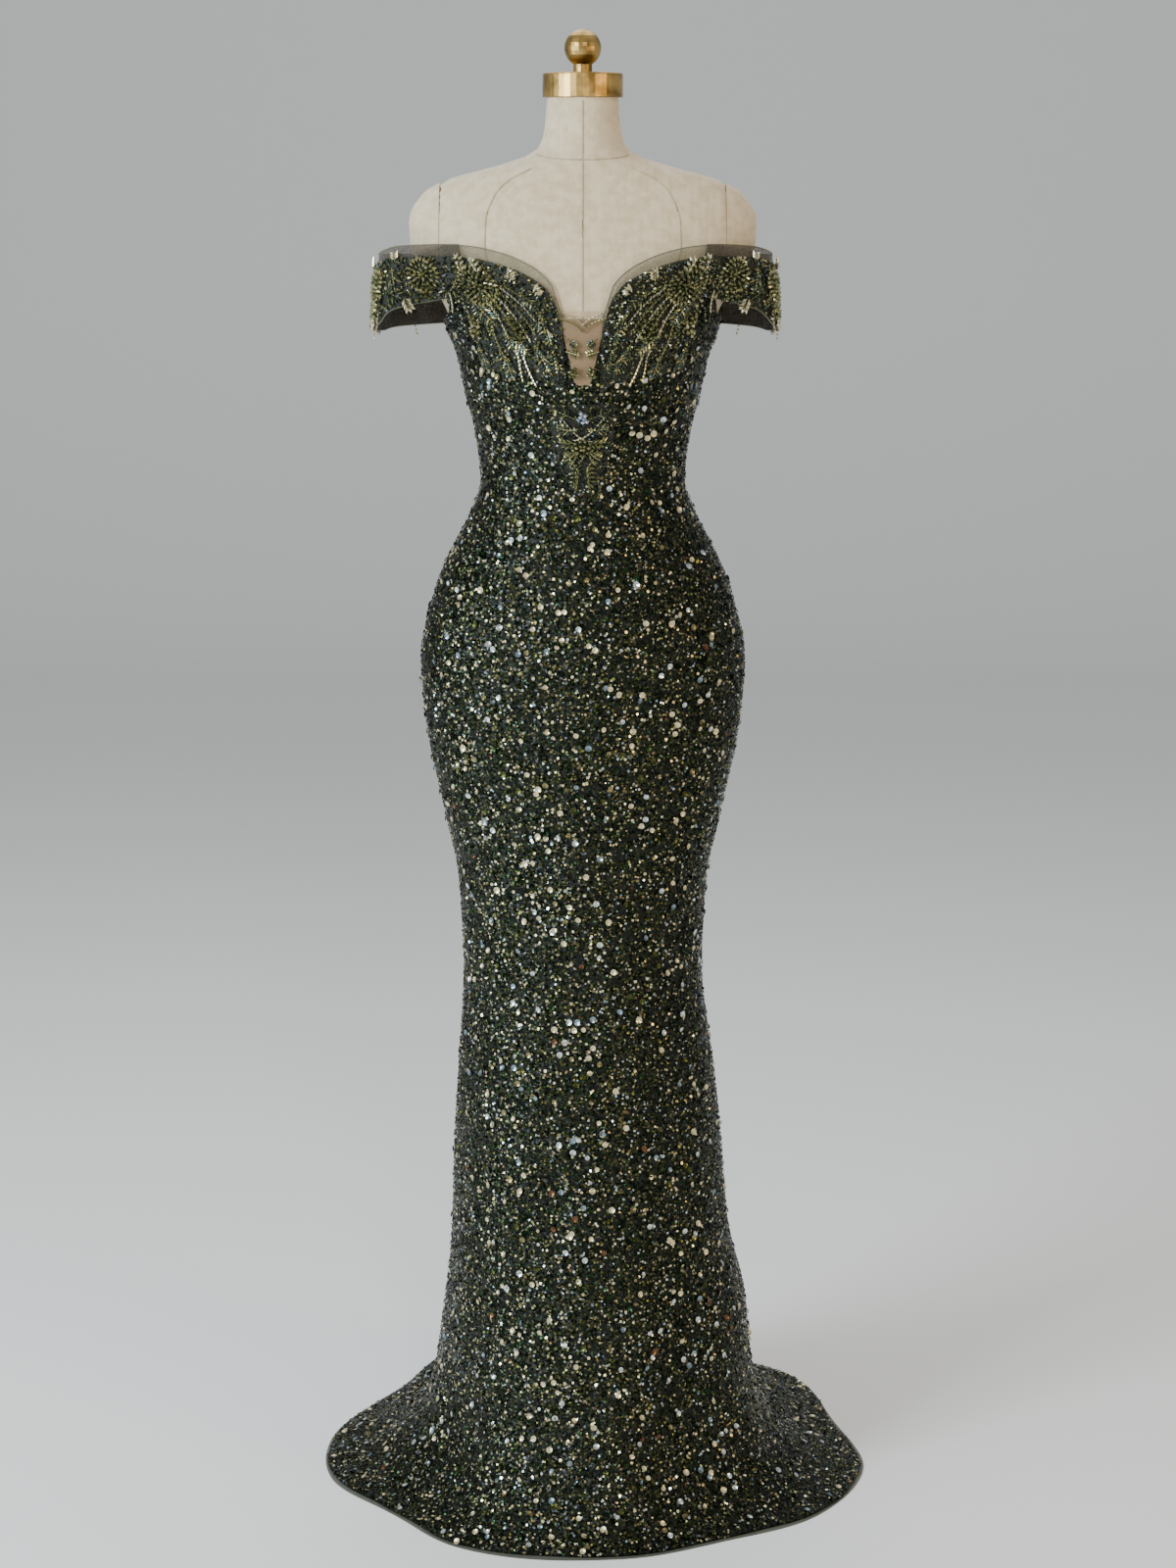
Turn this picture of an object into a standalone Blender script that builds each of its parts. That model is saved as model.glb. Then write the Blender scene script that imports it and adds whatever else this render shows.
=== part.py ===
"""Off-the-shoulder evening gown on a limbless dress form.

Metres, +Z up. The gown faces -Y, +X is the viewer's right hand. The origin is on the floor, under the
form's pole. The gown and the form's torso are read from one table of horizontal sections, so the cloth
follows the form and stays clear of it. Each piece of cloth is a wall between two skins of that surface.
"""

import math

import bmesh
import bpy
from mathutils import Matrix, Vector

# ---------------------------------------------------------------- driving sizes
CLOTH = 0.0020              # sequinned net with its lining
SHEER = 0.0010              # tulle and nude mesh
LACE = 0.0012               # beaded lace
SEAM = 0.0003               # gap between neighbouring pieces
LAID_ON = 0.0008            # gap under a piece that lies on a panel
FORM_CLEAR_LOW = 0.0006     # form to cloth, at waist and hips
FORM_CLEAR_HIGH = 0.0042    # form to cloth, at the bust
CLEAR_FROM, CLEAR_TO = 1.18, 1.27

HEM_HEIGHT = 0.0035         # outer edge of the panels above the floor
WAIST_SPLIT = 1.234         # above it the panels' rows run up to the neckline
NECKLINE_ROWS = 8

# A row for each horizontal section of the outer face of the cloth, and of the form above it.
# height, half width, reach to the front, reach to the back, where it is widest, sway to the right
SECTIONS = (
    (1.602, 0.0455, 0.045, 0.045, 0.000, 0.000),
    (1.565, 0.0490, 0.048, 0.050, 0.001, 0.000),
    (1.543, 0.0580, 0.052, 0.060, 0.004, 0.000),
    (1.529, 0.0930, 0.056, 0.068, 0.006, 0.000),
    (1.512, 0.1560, 0.062, 0.076, 0.006, 0.000),
    (1.495, 0.1850, 0.070, 0.084, 0.006, 0.000),
    (1.468, 0.2000, 0.082, 0.094, 0.005, 0.000),
    (1.443, 0.1990, 0.094, 0.100, 0.004, 0.000),
    (1.400, 0.1740, 0.112, 0.104, 0.002, 0.000),
    (1.365, 0.1560, 0.127, 0.105, 0.000, 0.000),
    (1.343, 0.1490, 0.132, 0.104, 0.000, 0.000),
    (1.322, 0.1405, 0.131, 0.102, 0.000, 0.000),
    (1.278, 0.1310, 0.120, 0.097, 0.000, 0.000),
    (1.234, 0.1200, 0.105, 0.090, 0.000, 0.000),
    (1.180, 0.1140, 0.096, 0.086, 0.000, 0.000),
    (1.146, 0.1250, 0.097, 0.092, 0.000, 0.000),
    (1.101, 0.1480, 0.103, 0.105, 0.002, 0.000),
    (1.056, 0.1670, 0.108, 0.118, 0.004, 0.000),
    (0.975, 0.1840, 0.112, 0.132, 0.006, 0.000),
    (0.900, 0.1780, 0.110, 0.130, 0.006, 0.000),
    (0.800, 0.1580, 0.108, 0.121, 0.004, 0.000),
    (0.720, 0.1420, 0.108, 0.113, 0.002, 0.000),
    (0.620, 0.1370, 0.112, 0.112, 0.000, 0.000),
    (0.503, 0.1470, 0.124, 0.124, 0.002, 0.003),
    (0.408, 0.1550, 0.136, 0.140, 0.006, 0.005),
    (0.312, 0.1610, 0.149, 0.160, 0.010, 0.008),
    (0.215, 0.1770, 0.166, 0.190, 0.018, 0.015),
    (0.117, 0.1890, 0.190, 0.240, 0.028, 0.015),
    (0.060, 0.2100, 0.213, 0.300, 0.034, 0.014),
    (0.028, 0.2450, 0.236, 0.358, 0.038, 0.012),
    (0.012, 0.2780, 0.252, 0.402, 0.040, 0.012),
    (HEM_HEIGHT, 0.3130, 0.263, 0.436, 0.040, 0.012),
)
HEIGHT, HALF_WIDTH, FRONT, BACK, WIDEST, SWAY = range(6)

# A row for each large fold of the skirt. The angle is at the hem, from the front towards +X.
# angle, half width, depth at the hem (a ridge is positive), height where it dies out, lean upwards
FOLDS = (
    (-20.0, 13.0, 0.010, 0.78, -34.0),
    (-51.0, 12.0, -0.016, 0.20, -14.0),
    (3.0, 14.0, 0.004, 0.45, 4.0),
    (28.0, 12.0, -0.009, 0.64, 26.0),
    (58.0, 15.0, 0.008, 0.55, 10.0),
    (-84.0, 15.0, 0.006, 0.20, 2.0),
    (84.0, 14.0, 0.010, 0.12, 0.0),
    (104.0, 13.0, -0.012, 0.50, 3.0),
    (-124.0, 15.0, -0.024, 0.56, 4.0),
    (128.0, 15.0, 0.008, 0.66, -4.0),
    (-150.0, 14.0, 0.018, 0.70, 3.0),
    (151.0, 14.0, -0.022, 0.52, -2.0),
    (-168.0, 9.0, -0.012, 0.34, 2.0),
    (178.0, 13.0, 0.018, 0.74, 0.0),
)

# Top edges at an angle from the front: the sequinned cloth's own edge, and the sheer edge above it.
NECK_EDGE = (
    (0.0, 1.292, 1.3645),
    (3.0, 1.293, 1.3645),
    (8.0, 1.346, 1.3640),
    (11.0, 1.382, 1.3990),
    (18.0, 1.404, 1.4210),
    (28.0, 1.418, 1.4350),
    (38.0, 1.425, 1.4410),
    (49.0, 1.427, 1.4430),
    (56.0, 1.407, 1.4260),
    (64.0, 1.381, 1.3900),
    (74.0, 1.365, 1.3700),
    (90.0, 1.360, 1.3650),
    (112.0, 1.364, 1.3700),
    (121.0, 1.384, 1.3900),
    (129.0, 1.404, 1.4210),
    (138.0, 1.410, 1.4270),
    (152.0, 1.404, 1.4210),
    (166.0, 1.392, 1.4090),
    (180.0, 1.386, 1.4030),
)
ANGLE, CLOTH_EDGE, SHEER_EDGE = range(3)

CLOTH_HEIGHTS = (HEM_HEIGHT, 0.012, 0.028, 0.060, 0.117, 0.215, 0.312, 0.408, 0.520, 0.640, 0.740,
                 0.830, 0.900, 0.975, 1.015, 1.056, 1.101, 1.146, 1.163, 1.180, 1.207, WAIST_SPLIT)
FORM_HEIGHTS = (0.830, 0.900, 0.975, 1.015, 1.056, 1.101, 1.146, 1.163, 1.180, 1.207, WAIST_SPLIT,
                1.278, 1.322, 1.343, 1.365, 1.400, 1.443, 1.468, 1.495, 1.512, 1.529, 1.543, 1.565, 1.602)

CENTRE_SEAM = 32.0          # princess seam beside the front panel
SIDE_SEAM = 88.0
BACK_SEAM = 144.0
COLUMN = 8.0                # step between columns of every wall on the surface
BEND_COLUMNS = (3.0, 11.0, 74.0, 121.0, 129.0)  # more columns, where the top edge bends

INSET_HALF_ANGLE = 8.0
SHEER_FRONT = (8.0, 52.0)
SHEER_BACK = (127.0, 180.0)

# Beaded lace
BUST_LACE_ANGLES = (8.0, 40.0)
BUST_LACE_FROM_ROW = 3      # counted from the waist split
CENTRE_LACE_ANGLE = 16.0
CENTRE_LACE_LOW, CENTRE_LACE_TOP = 1.172, 1.272

# A row for each rib of a sleeve, from its front end on the bodice round to its back end.
# angle on the bodice (0 where it is free), reach to the side, place along Y, lower and upper edge
SLEEVE_RIBS = (
    (43.0, 0.000, 0.000, 1.392, 1.4425),
    (50.0, 0.000, 0.000, 1.388, 1.4425),
    (0.0, 0.190, -0.046, 1.374, 1.4410),
    (0.0, 0.211, -0.024, 1.358, 1.4360),
    (0.0, 0.219, 0.004, 1.347, 1.4310),
    (0.0, 0.212, 0.032, 1.346, 1.4300),
    (0.0, 0.192, 0.056, 1.350, 1.4300),
    (128.0, 0.000, 0.000, 1.356, 1.4290),
    (136.0, 0.000, 0.000, 1.360, 1.4280),
)
SLEEVE_SPREAD = {"left": 0.014, "right": -0.002}    # the left band hangs further out
SLEEVE_LEAN = 0.06          # how far the band leans in, for each metre of height
SLEEVE_MIDDLE = (0.15, 0.004)   # the band's thickness points away from here
SLEEVE_STEPS = 24
SLEEVE_LACE_TRIM = 0.012    # sheer edge left above the sleeve's lace

HEM_LINING_IN, HEM_LINING_OUT, HEM_LINING_THICK = 0.024, 0.004, 0.0010

# Dress form
CAP_PLANE = 0.1585          # flat armhole faces of the torso
NECK_CAP_RADIUS, NECK_CAP_LOW, NECK_CAP_HIGH = 0.0445, 1.6023, 1.6285
FINIAL_STEM_RADIUS, FINIAL_BALL_RADIUS, FINIAL_BALL_HEIGHT = 0.0105, 0.0205, 1.6555
POLE_RADIUS = 0.0145
BASE_RADIUS, BASE_THICK, HUB_RADIUS, HUB_HIGH = 0.150, 0.012, 0.032, 0.026

# Zip, at the top of the centre back seam
ZIP_HEIGHT = 1.3715         # its pull's pivot
SLIDER_WIDTH, SLIDER_LENGTH, SLIDER_THICK = 0.0070, 0.0100, 0.0020
PIVOT_STANDOFF = 0.0053     # pivot above the cloth
EAR_PLACE, EAR_WIDTH, EAR_SIZE = 0.0023, 0.0009, 0.0038
PIN_RADIUS = 0.0006
EYE_INNER, EYE_OUTER, EYE_WIDTH = 0.0010, 0.0019, 0.0028
PULL_WIDTH, PULL_THICK, PULL_FROM, PULL_TO = 0.0056, 0.0010, 0.0036, 0.0240
PULL_TAPER = 0.62           # width at the pull's upper end


# ---------------------------------------------------------------- tables and the gown's surface
def read_table(rows, key, column, value):
    """Smooth value of one column between rows, with no overshoot at the bends."""
    rows = sorted(rows, key=lambda row: row[key])
    places = [row[key] for row in rows]
    values = [row[column] for row in rows]
    if value <= places[0]:
        return values[0]
    if value >= places[-1]:
        return values[-1]
    slopes = [(values[i + 1] - values[i]) / (places[i + 1] - places[i]) for i in range(len(rows) - 1)]
    tangents = [slopes[0]]
    for before, after in zip(slopes, slopes[1:]):
        together = before * after
        tangents.append(2.0 * together / (before + after) if together > 0.0 else 0.0)
    tangents.append(slopes[-1])
    i = max(index for index, place in enumerate(places[:-1]) if place <= value)
    span = places[i + 1] - places[i]
    t = (value - places[i]) / span
    return (values[i] * (2 * t ** 3 - 3 * t ** 2 + 1) + values[i + 1] * (3 * t ** 2 - 2 * t ** 3)
            + span * tangents[i] * (t ** 3 - 2 * t ** 2 + t) + span * tangents[i + 1] * (t ** 3 - t ** 2))


def fold_depth(angle, height):
    """Sum of the skirt's folds at a place on the cloth."""
    depth = 0.0
    for at, half_width, amount, dies_out, lean in FOLDS:
        if height >= dies_out:
            continue
        ramp = (1.0 - height / dies_out) ** 1.3
        away = (angle - at - lean * height / dies_out + 180.0) % 360.0 - 180.0
        if abs(away) < half_width * 2.0:
            depth += amount * ramp * math.cos(math.radians(away / half_width * 45.0)) ** 2
    return depth


def section_point(angle, height):
    """Point of the surface at an angle from the front, without moving it out."""
    width, front, back, widest, sway = (read_table(SECTIONS, HEIGHT, column, height)
                                        for column in (HALF_WIDTH, FRONT, BACK, WIDEST, SWAY))
    turn = math.radians(angle)
    reach = front + widest if math.cos(turn) > 0.0 else back - widest
    fold = fold_depth(angle, height)
    return Vector((sway + (width + fold) * math.sin(turn),
                   widest - (reach + fold) * math.cos(turn),
                   height))


def cloth_point(angle, height, out=0.0):
    """Point of the cloth's outer face, moved out along the surface's normal."""
    place = section_point(angle, height)
    if out == 0.0:
        return place
    across = section_point(angle + 0.5, height) - section_point(angle - 0.5, height)
    lift = 0.002
    lower = max(height - lift, HEM_HEIGHT)
    upwards = section_point(angle, height + lift) - section_point(angle, lower)
    return place + across.cross(upwards).normalized() * out


def neck_edge(angle, column):
    """Height of one of the top edges at an angle, the same on both sides."""
    return read_table(NECK_EDGE, ANGLE, column, abs(angle))


def columns_between(first, last):
    """Angles from first to last, at the columns that all walls on the surface share."""
    shared = {COLUMN * i for i in range(round(-180.0 / COLUMN), round(180.0 / COLUMN) + 1)}
    shared |= {sign * angle for angle in BEND_COLUMNS for sign in (-1.0, 1.0)}
    return sorted({first, last} | {angle for angle in shared if first < angle < last})


def nudge(points, towards, amount):
    """Points moved a little towards the matching points of the next column."""
    return [place + (other - place).normalized() * amount for place, other in zip(points, towards)]


# ---------------------------------------------------------------- building helpers
def clear_scene():
    """Remove what the scene holds."""
    for thing in list(bpy.data.objects):
        bpy.data.objects.remove(thing, do_unlink=True)


def make_collection(name):
    """New collection, linked to the scene."""
    group = bpy.data.collections.new(name)
    bpy.context.scene.collection.children.link(group)
    return group


def make_material(name, colour, roughness, metallic=0.0):
    """Principled material."""
    material = bpy.data.materials.new(name)
    material.use_nodes = True
    shader = material.node_tree.nodes["Principled BSDF"]
    shader.inputs["Base Color"].default_value = (*colour, 1.0)
    shader.inputs["Roughness"].default_value = roughness
    shader.inputs["Metallic"].default_value = metallic
    return material


def add_object(name, mesh, material, group):
    """Object for a finished mesh."""
    thing = bpy.data.objects.new(name, mesh)
    thing.data.materials.append(material)
    group.objects.link(thing)
    return thing


def finish_mesh(name, shape, smooth_angle=35.0):
    """Mesh from a bmesh, with its faces pointing out and its round stretches smooth."""
    bmesh.ops.recalc_face_normals(shape, faces=shape.faces)
    mesh = bpy.data.meshes.new(name)
    shape.to_mesh(mesh)
    shape.free()
    mesh.shade_smooth()
    mesh.set_sharp_from_angle(angle=math.radians(smooth_angle))
    return mesh


def wall(name, outer, inner, material, group):
    """Closed wall between two grids of points, each a list of columns."""
    shape = bmesh.new()
    skins = [[[shape.verts.new(place) for place in column] for column in grid] for grid in (outer, inner)]
    columns, rows = len(outer), len(outer[0])
    for skin in skins:
        for i in range(columns - 1):
            for j in range(rows - 1):
                shape.faces.new((skin[i][j], skin[i + 1][j], skin[i + 1][j + 1], skin[i][j + 1]))
    rim = [(i, 0) for i in range(columns)] + [(columns - 1, j) for j in range(1, rows)]
    rim += [(i, rows - 1) for i in reversed(range(columns - 1))]
    rim += [(0, j) for j in reversed(range(1, rows - 1))]
    for (i, j), (k, m) in zip(rim, rim[1:] + rim[:1]):
        shape.faces.new((skins[0][i][j], skins[0][k][m], skins[1][k][m], skins[1][i][j]))
    return add_object(name, finish_mesh(name, shape), material, group)


def surface_wall(name, angles, heights_at, outer, inner, material, group, trim=SEAM / 2.0):
    """Wall on the gown's surface; heights_at gives a column's heights at its angle."""
    skins = []
    for out in (outer, inner):
        grid = [[cloth_point(angle, height, out) for height in heights_at(angle)] for angle in angles]
        first, last = nudge(grid[0], grid[1], trim), nudge(grid[-1], grid[-2], trim)
        skins.append([first] + grid[1:-1] + [last])
    return wall(name, skins[0], skins[1], material, group)


def even_heights(low, high, steps):
    """Heights from low to high."""
    return [low + (high - low) * i / steps for i in range(steps + 1)]


def lathe(name, profile, material, group, segments=40):
    """Turned solid from (radius, height) pairs that run down its outer side, top to bottom."""
    mesh = bpy.data.meshes.new(name)
    points = [(radius, 0.0, height) for radius, height in profile]
    mesh.from_pydata(points, [(i, i + 1) for i in range(len(points) - 1)], [])
    thing = add_object(name, mesh, material, group)
    screw = thing.modifiers.new("turn", "SCREW")
    screw.steps = screw.render_steps = segments
    screw.use_merge_vertices = True
    screw.merge_threshold = 0.00001
    screw.use_smooth_shade = True
    return thing


def solid_box(shape, centre, size):
    """Add a box to a bmesh."""
    place = Matrix.LocRotScale(Vector(centre), None, Vector(size))
    bmesh.ops.create_cube(shape, size=1.0, matrix=place)


def solid_rod(shape, centre, radius, length, segments=16):
    """Add a rod along X to a bmesh."""
    place = Matrix.Translation(Vector(centre)) @ Matrix.Rotation(math.pi / 2.0, 4, "Y")
    bmesh.ops.create_cone(shape, cap_ends=True, segments=segments, radius1=radius, radius2=radius,
                          depth=length, matrix=place)


def union_parts(name, makers, material, group, helpers):
    """One solid from several overlapping ones, each made by a function that fills a bmesh."""
    parts = []
    for number, maker in enumerate(makers):
        shape = bmesh.new()
        maker(shape)
        part_name = name if number == 0 else f"{name}_add_{number}"
        kept_in = group if number == 0 else helpers
        parts.append(add_object(part_name, finish_mesh(part_name, shape), material, kept_in))
    for part in parts[1:]:
        combine(parts[0], part, "UNION")
    return parts[0]


def combine(thing, helper, operation):
    """Boolean modifier with a hidden helper."""
    helper.hide_render = True
    helper.display_type = "WIRE"
    modifier = thing.modifiers.new(operation.lower(), "BOOLEAN")
    modifier.operation = operation
    modifier.solver = "EXACT"
    modifier.object = helper


# ---------------------------------------------------------------- the gown
def panel_heights(angle):
    """Heights of a panel's rows, from the hem to its edge at the neckline."""
    top = neck_edge(angle, CLOTH_EDGE)
    return list(CLOTH_HEIGHTS) + even_heights(WAIST_SPLIT, top, NECKLINE_ROWS)[1:]


def build_panels(material, group):
    """Seven princess panels, each whole from the neckline to the hem."""
    seams = {
        "front_centre": (-CENTRE_SEAM, CENTRE_SEAM),
        "front_side_right": (CENTRE_SEAM, SIDE_SEAM),
        "front_side_left": (-SIDE_SEAM, -CENTRE_SEAM),
        "back_side_right": (SIDE_SEAM, BACK_SEAM),
        "back_side_left": (-BACK_SEAM, -SIDE_SEAM),
        "back_right": (BACK_SEAM, 180.0),
        "back_left": (-180.0, -BACK_SEAM),
    }
    for name, (first, last) in seams.items():
        surface_wall(name, columns_between(first, last), panel_heights, 0.0, -CLOTH, material, group)


def build_inset(material, group):
    """Nude mesh in the plunging point of the neckline."""
    def heights(angle):
        return even_heights(neck_edge(angle, CLOTH_EDGE) + SEAM, NECK_EDGE[0][SHEER_EDGE], 4)
    angles = columns_between(-INSET_HALF_ANGLE, INSET_HALF_ANGLE)
    surface_wall("neckline_inset", angles, heights, 0.0, -SHEER, material, group)


def build_sheer_edges(material, group):
    """Tulle strips that stand above the sequinned cloth, two in front and two behind."""
    def heights(angle):
        return even_heights(neck_edge(angle, CLOTH_EDGE) + SEAM, neck_edge(angle, SHEER_EDGE), 2)
    for where, (first, last) in (("front", SHEER_FRONT), ("back", SHEER_BACK)):
        angles = columns_between(first, last)
        surface_wall(f"sheer_edge_{where}_right", angles, heights, 0.0, -SHEER, material, group)
        mirrored = [-angle for angle in reversed(angles)]
        surface_wall(f"sheer_edge_{where}_left", mirrored, heights, 0.0, -SHEER, material, group)


def build_bodice_lace(material, group):
    """Beaded lace over each side of the bust and in the middle of the waist."""
    def bust_heights(angle):
        return even_heights(WAIST_SPLIT, neck_edge(angle, CLOTH_EDGE), NECKLINE_ROWS)[BUST_LACE_FROM_ROW:]

    def centre_heights(angle):
        rise = 0.05 * (abs(angle) / CENTRE_LACE_ANGLE) ** 2
        return even_heights(CENTRE_LACE_LOW + rise, CENTRE_LACE_TOP, 7)

    faces = (LAID_ON + LACE, LAID_ON)
    angles = columns_between(*BUST_LACE_ANGLES)
    surface_wall("lace_bust_right", angles, bust_heights, *faces, material, group)
    mirrored = [-angle for angle in reversed(angles)]
    surface_wall("lace_bust_left", mirrored, bust_heights, *faces, material, group)
    middle = columns_between(-CENTRE_LACE_ANGLE, CENTRE_LACE_ANGLE)
    surface_wall("lace_waist", middle, centre_heights, *faces, material, group)


def sleeve_column(side, spread, place, out, heights):
    """Points up one line of a sleeve; place counts ribs from the front end."""
    last = len(SLEEVE_RIBS) - 1
    start = min(int(place), last - 1)
    t = place - start
    if SLEEVE_RIBS[start][0] and SLEEVE_RIBS[start + 1][0]:
        angle = SLEEVE_RIBS[start][0] * (1.0 - t) + SLEEVE_RIBS[start + 1][0] * t
        return [cloth_point(side * angle, height, LAID_ON + SHEER + out) for height in heights]

    def rib_point(rib, height):
        if rib[0]:
            return cloth_point(side * rib[0], height, LAID_ON + SHEER + out)
        lean = SLEEVE_LEAN * (height - rib[3])
        middle = Vector((side * SLEEVE_MIDDLE[0], SLEEVE_MIDDLE[1], height))
        point = Vector((side * (rib[1] + spread - lean), rib[2], height))
        return point + (point - middle).normalized() * out

    ribs = [SLEEVE_RIBS[min(max(start + step, 0), last)] for step in (-1, 0, 1, 2)]
    points = []
    for height in heights:
        a, b, c, d = (rib_point(rib, height) for rib in ribs)
        points.append(0.5 * (2 * b + (c - a) * t + (2 * a - 5 * b + 4 * c - d) * t * t
                             + (3 * b - a - 3 * c + d) * t ** 3))
    return points


def build_sleeve(side, name, material, lace_material, group):
    """Off-the-shoulder band of tulle, and the lace that lies on it."""
    table = [(index, rib[3], rib[4]) for index, rib in enumerate(SLEEVE_RIBS)]
    last = len(SLEEVE_RIBS) - 1
    layers = (
        (f"sleeve_{name}", 0.0, -SHEER, 0.0, 0.0, material),
        (f"lace_sleeve_{name}", LAID_ON + LACE, LAID_ON, 0.004, SLEEVE_LACE_TRIM, lace_material),
    )
    for node, outer, inner, ends, trim, finish in layers:
        places = [last * (ends + (1.0 - 2.0 * ends) * i / SLEEVE_STEPS) for i in range(SLEEVE_STEPS + 1)]
        grids = []
        for out in (outer, inner):
            grid = []
            for place in places:
                low, high = read_table(table, 0, 1, place), read_table(table, 0, 2, place) - trim
                grid.append(sleeve_column(side, SLEEVE_SPREAD[name], place, out, even_heights(low, high, 3)))
            grids.append(grid)
        wall(node, grids[0], grids[1], finish, group)


def build_hem_lining(material, group):
    """Smooth lining that shows past the hem, flat on the floor, as a ring of four corners."""
    shape = bmesh.new()
    rings = []
    angles = [360.0 * i / 60 for i in range(60)]
    for reach, height in ((HEM_LINING_OUT, 0.0), (HEM_LINING_OUT, HEM_LINING_THICK),
                          (-HEM_LINING_IN, HEM_LINING_THICK), (-HEM_LINING_IN, 0.0)):
        ring = []
        for angle in angles:
            edge = section_point(angle, HEM_HEIGHT)
            across = section_point(angle + 0.5, HEM_HEIGHT) - section_point(angle - 0.5, HEM_HEIGHT)
            outwards = across.cross(Vector((0.0, 0.0, 1.0))).normalized()
            ring.append(shape.verts.new((edge.x + outwards.x * reach, edge.y + outwards.y * reach, height)))
        rings.append(ring)
    for ring, beside in zip(rings, rings[1:] + rings[:1]):
        for i in range(len(angles)):
            k = (i + 1) % len(angles)
            shape.faces.new((ring[i], ring[k], beside[k], beside[i]))
    return add_object("hem_lining", finish_mesh("hem_lining", shape), material, group)


# ---------------------------------------------------------------- the zip's slider and pull
def build_zip(metal, group, helpers):
    """Slider at the top of the centre back seam, and the pull that swings on its pin."""
    face = cloth_point(180.0, ZIP_HEIGHT).y
    pivot = Vector((0.0, face + PIVOT_STANDOFF, ZIP_HEIGHT))
    slider_out = face + SEAM + SLIDER_THICK
    ear_from = slider_out - 0.0004
    ear_to = pivot.y + EAR_SIZE / 2.0

    def plate(shape):
        solid_box(shape, (0.0, face + SEAM + SLIDER_THICK / 2.0, ZIP_HEIGHT),
                  (SLIDER_WIDTH, SLIDER_THICK, SLIDER_LENGTH))

    def ear(side):
        def fill(shape):
            solid_box(shape, (side * EAR_PLACE, (ear_from + ear_to) / 2.0, ZIP_HEIGHT),
                      (EAR_WIDTH, ear_to - ear_from, EAR_SIZE))
        return fill

    def pin(shape):
        solid_rod(shape, pivot, PIN_RADIUS, 2.0 * EAR_PLACE)

    union_parts("zip_slider", (plate, ear(-1.0), ear(1.0), pin), metal, group, helpers)

    def eye(shape):
        solid_rod(shape, (0.0, 0.0, 0.0), EYE_OUTER, EYE_WIDTH)

    def neck(shape):
        top, foot = -(EYE_INNER + EYE_OUTER) / 2.0, -PULL_FROM - PULL_THICK
        solid_box(shape, (0.0, 0.0, (top + foot) / 2.0), (EYE_WIDTH * 0.8, PULL_THICK, top - foot))

    def tab(shape):
        solid_box(shape, (0.0, 0.0, -(PULL_FROM + PULL_TO) / 2.0),
                  (PULL_WIDTH, PULL_THICK, PULL_TO - PULL_FROM))
        for vert in shape.verts:
            if vert.co.z > -(PULL_FROM + PULL_TO) / 2.0:
                vert.co.x *= PULL_TAPER

    pull = union_parts("zip_pull", (eye, neck, tab), metal, group, helpers)
    bore = bmesh.new()
    solid_rod(bore, (0.0, 0.0, 0.0), EYE_INNER, EYE_WIDTH * 2.0)
    cutter = add_object("zip_pull_bore", finish_mesh("zip_pull_bore", bore), metal, helpers)
    combine(pull, cutter, "DIFFERENCE")
    for thing in [pull, cutter] + [item for item in helpers.objects if item.name.startswith("zip_pull_add")]:
        thing.location = pivot


# ---------------------------------------------------------------- the dress form
def form_clearance(height):
    """How far the form's skin lies under the cloth's outer face."""
    t = min(max((height - CLEAR_FROM) / (CLEAR_TO - CLEAR_FROM), 0.0), 1.0)
    return CLOTH + FORM_CLEAR_LOW + (FORM_CLEAR_HIGH - FORM_CLEAR_LOW) * t


def form_rings(heights, angles):
    """Rings of the form's skin, without the skirt's folds, which start lower."""
    return [[cloth_point(angle, height, -form_clearance(height)) for angle in angles] for height in heights]


def loft(rings):
    """Closed bmesh through rings of equal length."""
    shape = bmesh.new()
    skins = [[shape.verts.new(place) for place in ring] for ring in rings]
    count = len(rings[0])
    for lower, upper in zip(skins, skins[1:]):
        for i in range(count):
            k = (i + 1) % count
            shape.faces.new((lower[i], lower[k], upper[k], upper[i]))
    shape.faces.new(list(reversed(skins[0])))
    shape.faces.new(skins[-1])
    return shape


def build_torso(material, group):
    """Linen-covered torso and neck in one, flat at the armholes, at its underside and on its neck."""
    angles = [360.0 * i / 45 for i in range(45)]
    rings = form_rings(FORM_HEIGHTS, angles)
    for ring, height in zip(rings, FORM_HEIGHTS):
        for place in ring:
            place.z = height
            if height > NECK_EDGE[0][SHEER_EDGE]:
                place.x = min(max(place.x, -CAP_PLANE), CAP_PLANE)
    return add_object("form_torso", finish_mesh("form_torso", loft(rings)), material, group)


def build_shoulder_caps(material, group):
    """Rounded caps that close the armholes, cut off the full shoulder at a plane."""
    angles = [360.0 * i / 60 for i in range(60)]
    heights = [height for height in FORM_HEIGHTS if 1.35 < height < 1.54]
    heights = sorted(heights + [1.382, 1.421, 1.456, 1.482, 1.504])
    for side, name in ((-1.0, "left"), (1.0, "right")):
        shape = loft(form_rings(heights, angles))
        plane = Vector((side * (CAP_PLANE + SEAM), 0.0, 0.0))
        everything = shape.verts[:] + shape.edges[:] + shape.faces[:]
        cut = bmesh.ops.bisect_plane(shape, geom=everything, dist=0.00001, plane_co=plane,
                                     plane_no=(side, 0.0, 0.0), clear_inner=True)
        rim = [item for item in cut["geom_cut"] if isinstance(item, bmesh.types.BMEdge)]
        bmesh.ops.holes_fill(shape, edges=rim)
        node = f"form_shoulder_cap_{name}"
        add_object(node, finish_mesh(node, shape), material, group)


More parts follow.
